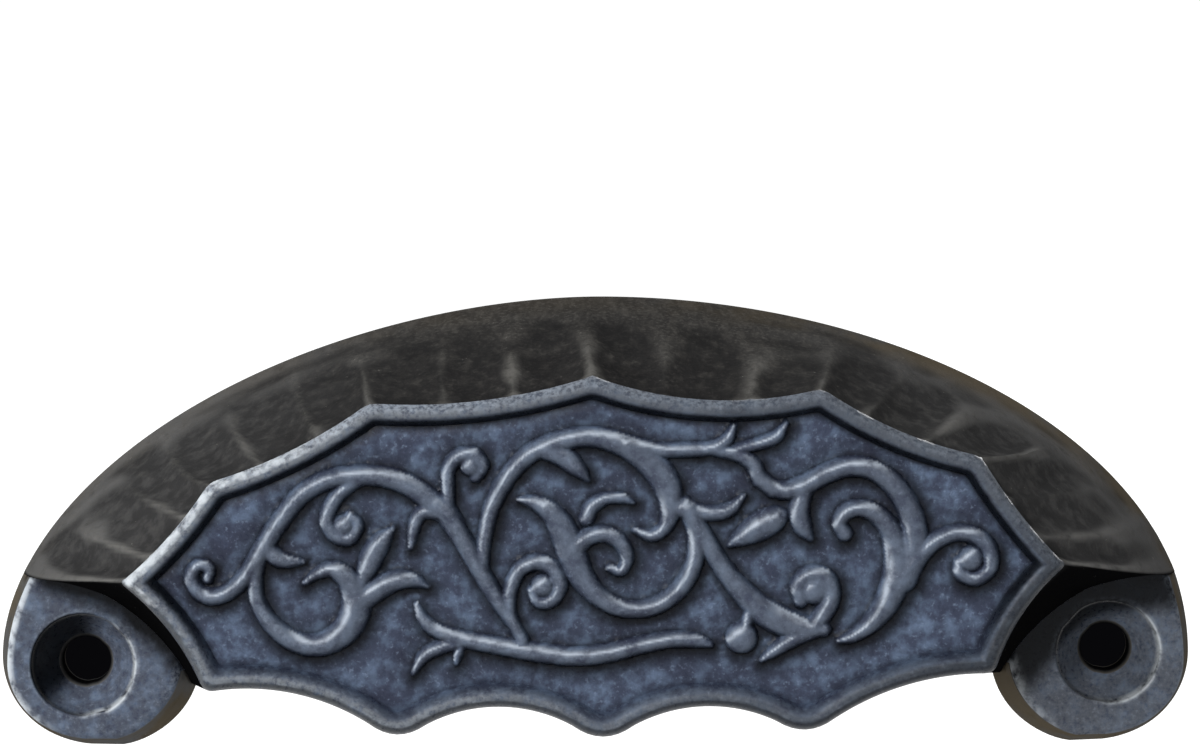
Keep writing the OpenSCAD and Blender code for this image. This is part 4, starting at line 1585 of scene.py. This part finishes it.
@dataclass
class Casting:
    """The whole pull: hood, panel and lugs as one closed mesh, with the masks that its finish reads."""

    sizes: Sizes
    finishes: tuple[CastIron, ...] = (BLACKENED_IRON, RUBBED_IRON)
    sharp_angle: float = 48.0

    def build(self) -> bpy.types.Object:
        """Makes the casting and dresses it.

        Returns:
            The new object.
        """
        outline = Outline()
        casting = self._skin(outline)
        for side in Side:
            combine(casting, Lug(self.sizes, side).build(), Cut.JOIN)
        combine(casting, Hollow(self.sizes, outline).build(), Cut.REMOVE)
        mesh = casting.data
        mesh.shade_smooth()
        mesh.set_sharp_from_angle(angle=math.radians(self.sharp_angle))
        mesh.materials.clear()
        for finish in self.finishes:
            mesh.materials.append(finish.build())
        self._paint(mesh, outline)
        mesh.calc_loop_triangles()
        log.info("casting: %d points, %d triangles", len(mesh.vertices), len(mesh.loop_triangles))
        return casting

    def _skin(self, outline: Outline) -> bpy.types.Object:
        """Outer skin: hood, rim and carved floor, closed at the back.

        Args:
            outline: outline of the panel.

        Returns:
            The new object, with the depth of the hammer marks and the zone of each point.
        """
        panel, hood = Panel(self.sizes, outline), Hood(self.sizes, outline)
        loops = [hood.loop_at(t) for t in hood.levels] + panel.rim_loops()
        n = len(loops[0])
        inside, triangles = panel.floor(loops[-1][:, [0, 2]])
        points = np.concatenate(loops + [inside])
        faces: list = [tuple(range(n))]
        for j in range(len(loops) - 1):
            faces += ring_faces(j * n, (j + 1) * n, n)
        # The triangles of the floor are numbered from the foot of the rim, and all turned to the front
        triangles = triangles + (len(loops) - 1) * n
        corners = points[triangles][:, :, [0, 2]]
        turn = np.cross(corners[:, 1] - corners[:, 0], corners[:, 2] - corners[:, 0])
        faces += np.where((turn < 0)[:, None], triangles[:, ::-1], triangles).tolist()
        skin = add_object(NODE + "_casting", points, faces)
        marks = np.concatenate([hood.marks(t) for t in hood.levels])
        on_hood = np.arange(len(points)) < (len(hood.levels) - 1) * n
        add_layer(skin.data, MARK_LAYER, np.pad(marks, (0, len(points) - len(marks))))
        add_layer(skin.data, ZONE_LAYER, np.where(on_hood, Zone.HOOD.value, Zone.PANEL.value))
        return skin

    def _paint(self, mesh: bpy.types.Mesh, outline: Outline) -> None:
        """Gives each face its finish and writes the masks that the finishes read.

        Args:
            mesh: mesh of the casting.
            outline: outline of its panel.
        """
        patina = PatinaAndPaintedLight(self.sizes, outline, mesh)
        for name, values in patina.masks().items():
            add_layer(mesh, name, values)
        # A face is rubbed iron where most of its points are
        rubbed = patina.panel | patina.face
        starts = read_items(mesh.polygons, "loop_start", 1, int)
        corners = read_items(mesh.loops, "vertex_index", 1, int)
        share = np.add.reduceat(rubbed[corners].astype(float), starts)
        totals = np.diff(np.append(starts, len(corners)))
        mesh.polygons.foreach_set("material_index", (share > totals / 2).astype(np.int32))


@dataclass(frozen=True)
class Lamp:
    """A soft box: place in metres, size in metres, power in watts and what it aims at."""

    name: str
    place: tuple[float, float, float]
    size: float
    power: float
    aim: tuple[float, float, float] = (0.0, -0.01, 0.01)

    def build(self) -> None:
        """Adds the lamp to the scene."""
        light = bpy.data.lights.new(self.name, "AREA")
        light.shape = "SQUARE"
        light.size = self.size
        light.energy = self.power
        obj = bpy.data.objects.new(self.name, light)
        bpy.context.scene.collection.objects.link(obj)
        obj.location = self.place
        obj.rotation_euler = (Vector(self.aim) - Vector(self.place)).to_track_quat("-Z", "Y").to_euler()


@dataclass
class Studio:
    """White studio: floor, world, soft boxes and the camera at the photo's angle."""

    sizes: Sizes
    white: str = "#ffffff"
    shadow_card: str = "#959595"
    pale_card: str = "#e7e7e7"
    hole_colour: str = "#08080a"
    camera_place: tuple[float, float, float] = (0.00077, -0.4, 0.06807)
    pitch: float = 6.0
    roll: float = -0.75
    focal_px: float = 4271.4
    sensor_mm: float = 36.0
    floor_z: float = -0.06
    floor_reach: float = 12.0
    # Distances in metres from the middle of the floor over which the shadow gives way to plain white
    shadow_reach: tuple[float, float] = (0.1, 0.25)
    ambient: float = 0.06
    lamps: tuple[Lamp, ...] = (
        Lamp("key", (-0.5, -0.5, 0.5), 0.22, 6.0),
        Lamp("front", (-0.25, -0.9, 0.35), 0.4, 4.8),
        Lamp("fill", (0.5, -0.6, 0.6), 0.4, 2.0),
        Lamp("rear", (0.3, 0.8, 0.3), 0.5, 5.0),
    )

    def build(self) -> None:
        """Sets up the whole studio."""
        scene = bpy.context.scene
        scene.view_settings.view_transform = "Standard"
        self._world(scene)
        self._floor()
        self._hole_shades()
        for lamp in self.lamps:
            lamp.build()
        self._camera(scene)

    def _camera(self, scene: bpy.types.Scene) -> None:
        """Adds the camera, looking a little down at the front of the pull.

        Args:
            scene: scene that gets the camera.
        """
        pitch, roll = math.radians(self.pitch), math.radians(self.roll)
        forward = Vector((0, math.cos(pitch), -math.sin(pitch)))
        right = Vector((1, 0, 0))
        up = right.cross(forward)
        across = right * math.cos(roll) + up * math.sin(roll)
        upward = up * math.cos(roll) - right * math.sin(roll)
        camera = bpy.data.cameras.new("camera")
        camera.sensor_width = self.sensor_mm
        camera.lens = self.focal_px / PHOTO_WIDTH_PX * self.sensor_mm
        camera.clip_start = 0.01
        obj = bpy.data.objects.new("camera", camera)
        scene.collection.objects.link(obj)
        matrix = Matrix((across, upward, -forward)).transposed().to_4x4()
        matrix.translation = Vector(self.camera_place)
        obj.matrix_world = matrix
        scene.camera = obj

    @staticmethod
    def _seen(tree: bpy.types.NodeTree) -> bpy.types.NodeSocket:
        """Tells rays that show the background from those that light the pull.

        Args:
            tree: node tree that gets the nodes.

        Returns:
            Output that is 1 for rays which show the background.
        """
        path = add_node(tree, "ShaderNodeLightPath")
        seen = path.outputs["Is Camera Ray"]
        for name in ("Is Glossy Ray", "Is Transmission Ray"):
            seen = add_node(tree, "ShaderNodeMath", {0: seen, 1: path.outputs[name]},
                            operation="MAXIMUM").outputs["Value"]
        return seen

    def _world(self, scene: bpy.types.Scene) -> None:
        """White where it is seen, a plain grey light elsewhere.

        Args:
            scene: scene that gets the world.
        """
        world = bpy.data.worlds.new("studio")
        scene.world = world
        world.use_nodes = True
        tree = world.node_tree
        colour = to_linear(self.white)
        white = add_node(tree, "ShaderNodeBackground", {"Color": colour, "Strength": 1.0})
        plain = add_node(tree, "ShaderNodeBackground", {"Color": colour, "Strength": self.ambient})
        mix = add_node(tree, "ShaderNodeMixShader", {
            "Fac": self._seen(tree), 1: plain.outputs[0], 2: white.outputs[0]})
        tree.links.new(mix.outputs[0], tree.nodes["World Output"].inputs["Surface"])

    @staticmethod
    def _bare_material(name: str) -> bpy.types.Material:
        """Makes a material with nothing but its output node.

        Args:
            name: name of the material.

        Returns:
            The new material.
        """
        material = bpy.data.materials.new(name)
        material.use_nodes = True
        material.node_tree.nodes.remove(material.node_tree.nodes["Principled BSDF"])
        return material

    def _floor(self) -> None:
        """Pale card below the pull: white where it is seen, less a soft shadow."""
        reach, z = self.floor_reach / MM, self.floor_z / MM
        corners = [(-reach, -reach, z), (reach, -reach, z), (reach, reach, z), (-reach, reach, z)]
        floor = add_object("floor", np.array(corners), [(0, 1, 2, 3)])
        material = self._bare_material("white_card")
        tree = material.node_tree
        # Only the ground near the pull shows its shadow; further out the card is plain white
        place = add_node(tree, "ShaderNodeTexCoord").outputs["Object"]
        away = add_node(tree, "ShaderNodeVectorMath", {0: place}, operation="LENGTH").outputs["Value"]
        near, far = self.shadow_reach
        white = add_node(tree, "ShaderNodeMapRange", {
            "Value": away, "From Min": near, "From Max": far, "To Min": 0.8, "To Max": 1.0}).outputs["Result"]
        glow = add_node(tree, "ShaderNodeEmission", {"Color": to_linear(self.white), "Strength": white})
        card = add_node(tree, "ShaderNodeBsdfDiffuse", {"Color": to_linear(self.shadow_card)})
        plain = add_node(tree, "ShaderNodeBsdfDiffuse", {"Color": to_linear(self.pale_card)})
        seen = add_node(tree, "ShaderNodeAddShader", {0: glow.outputs[0], 1: card.outputs[0]})
        mix = add_node(tree, "ShaderNodeMixShader", {
            "Fac": self._seen(tree), 1: plain.outputs[0], 2: seen.outputs[0]})
        tree.links.new(mix.outputs[0], tree.nodes["Material Output"].inputs["Surface"])
        floor.data.materials.append(material)

    def _hole_shades(self) -> None:
        """Painted shade behind the screw holes: dark discs that show from the front only and take no light."""
        material = self._bare_material("shaded_ground")
        tree = material.node_tree
        dark = add_node(tree, "ShaderNodeEmission", {"Color": to_linear(self.hole_colour), "Strength": 1.0})
        clear = add_node(tree, "ShaderNodeBsdfTransparent")
        back = add_node(tree, "ShaderNodeNewGeometry").outputs["Backfacing"]
        mix = add_node(tree, "ShaderNodeMixShader", {"Fac": back, 1: dark.outputs[0], 2: clear.outputs[0]})
        tree.links.new(mix.outputs[0], tree.nodes["Material Output"].inputs["Surface"])
        turn = np.radians(np.arange(0, 360, 10))
        r = self.sizes.bore_r + 0.05
        for side in Side:
            ring = np.stack([side.value * self.sizes.half + r * np.cos(turn), r * np.sin(turn)], -1)
            face = tuple(range(len(turn)))
            shade = add_object(f"hole_shade_{side.name.lower()}", at_depth(ring, 0.1), [face])
            shade.data.materials.append(material)
            shade.visible_diffuse = shade.visible_glossy = shade.visible_shadow = False


def main() -> None:
    """Builds the casting and its studio."""
    logging.basicConfig(level=logging.INFO)
    sizes = Sizes.from_frame()
    Studio(sizes).build()
    casting = Casting(sizes).build()
    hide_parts(NODE)
    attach(casting, "root")


if __name__ == "__main__":
    main()
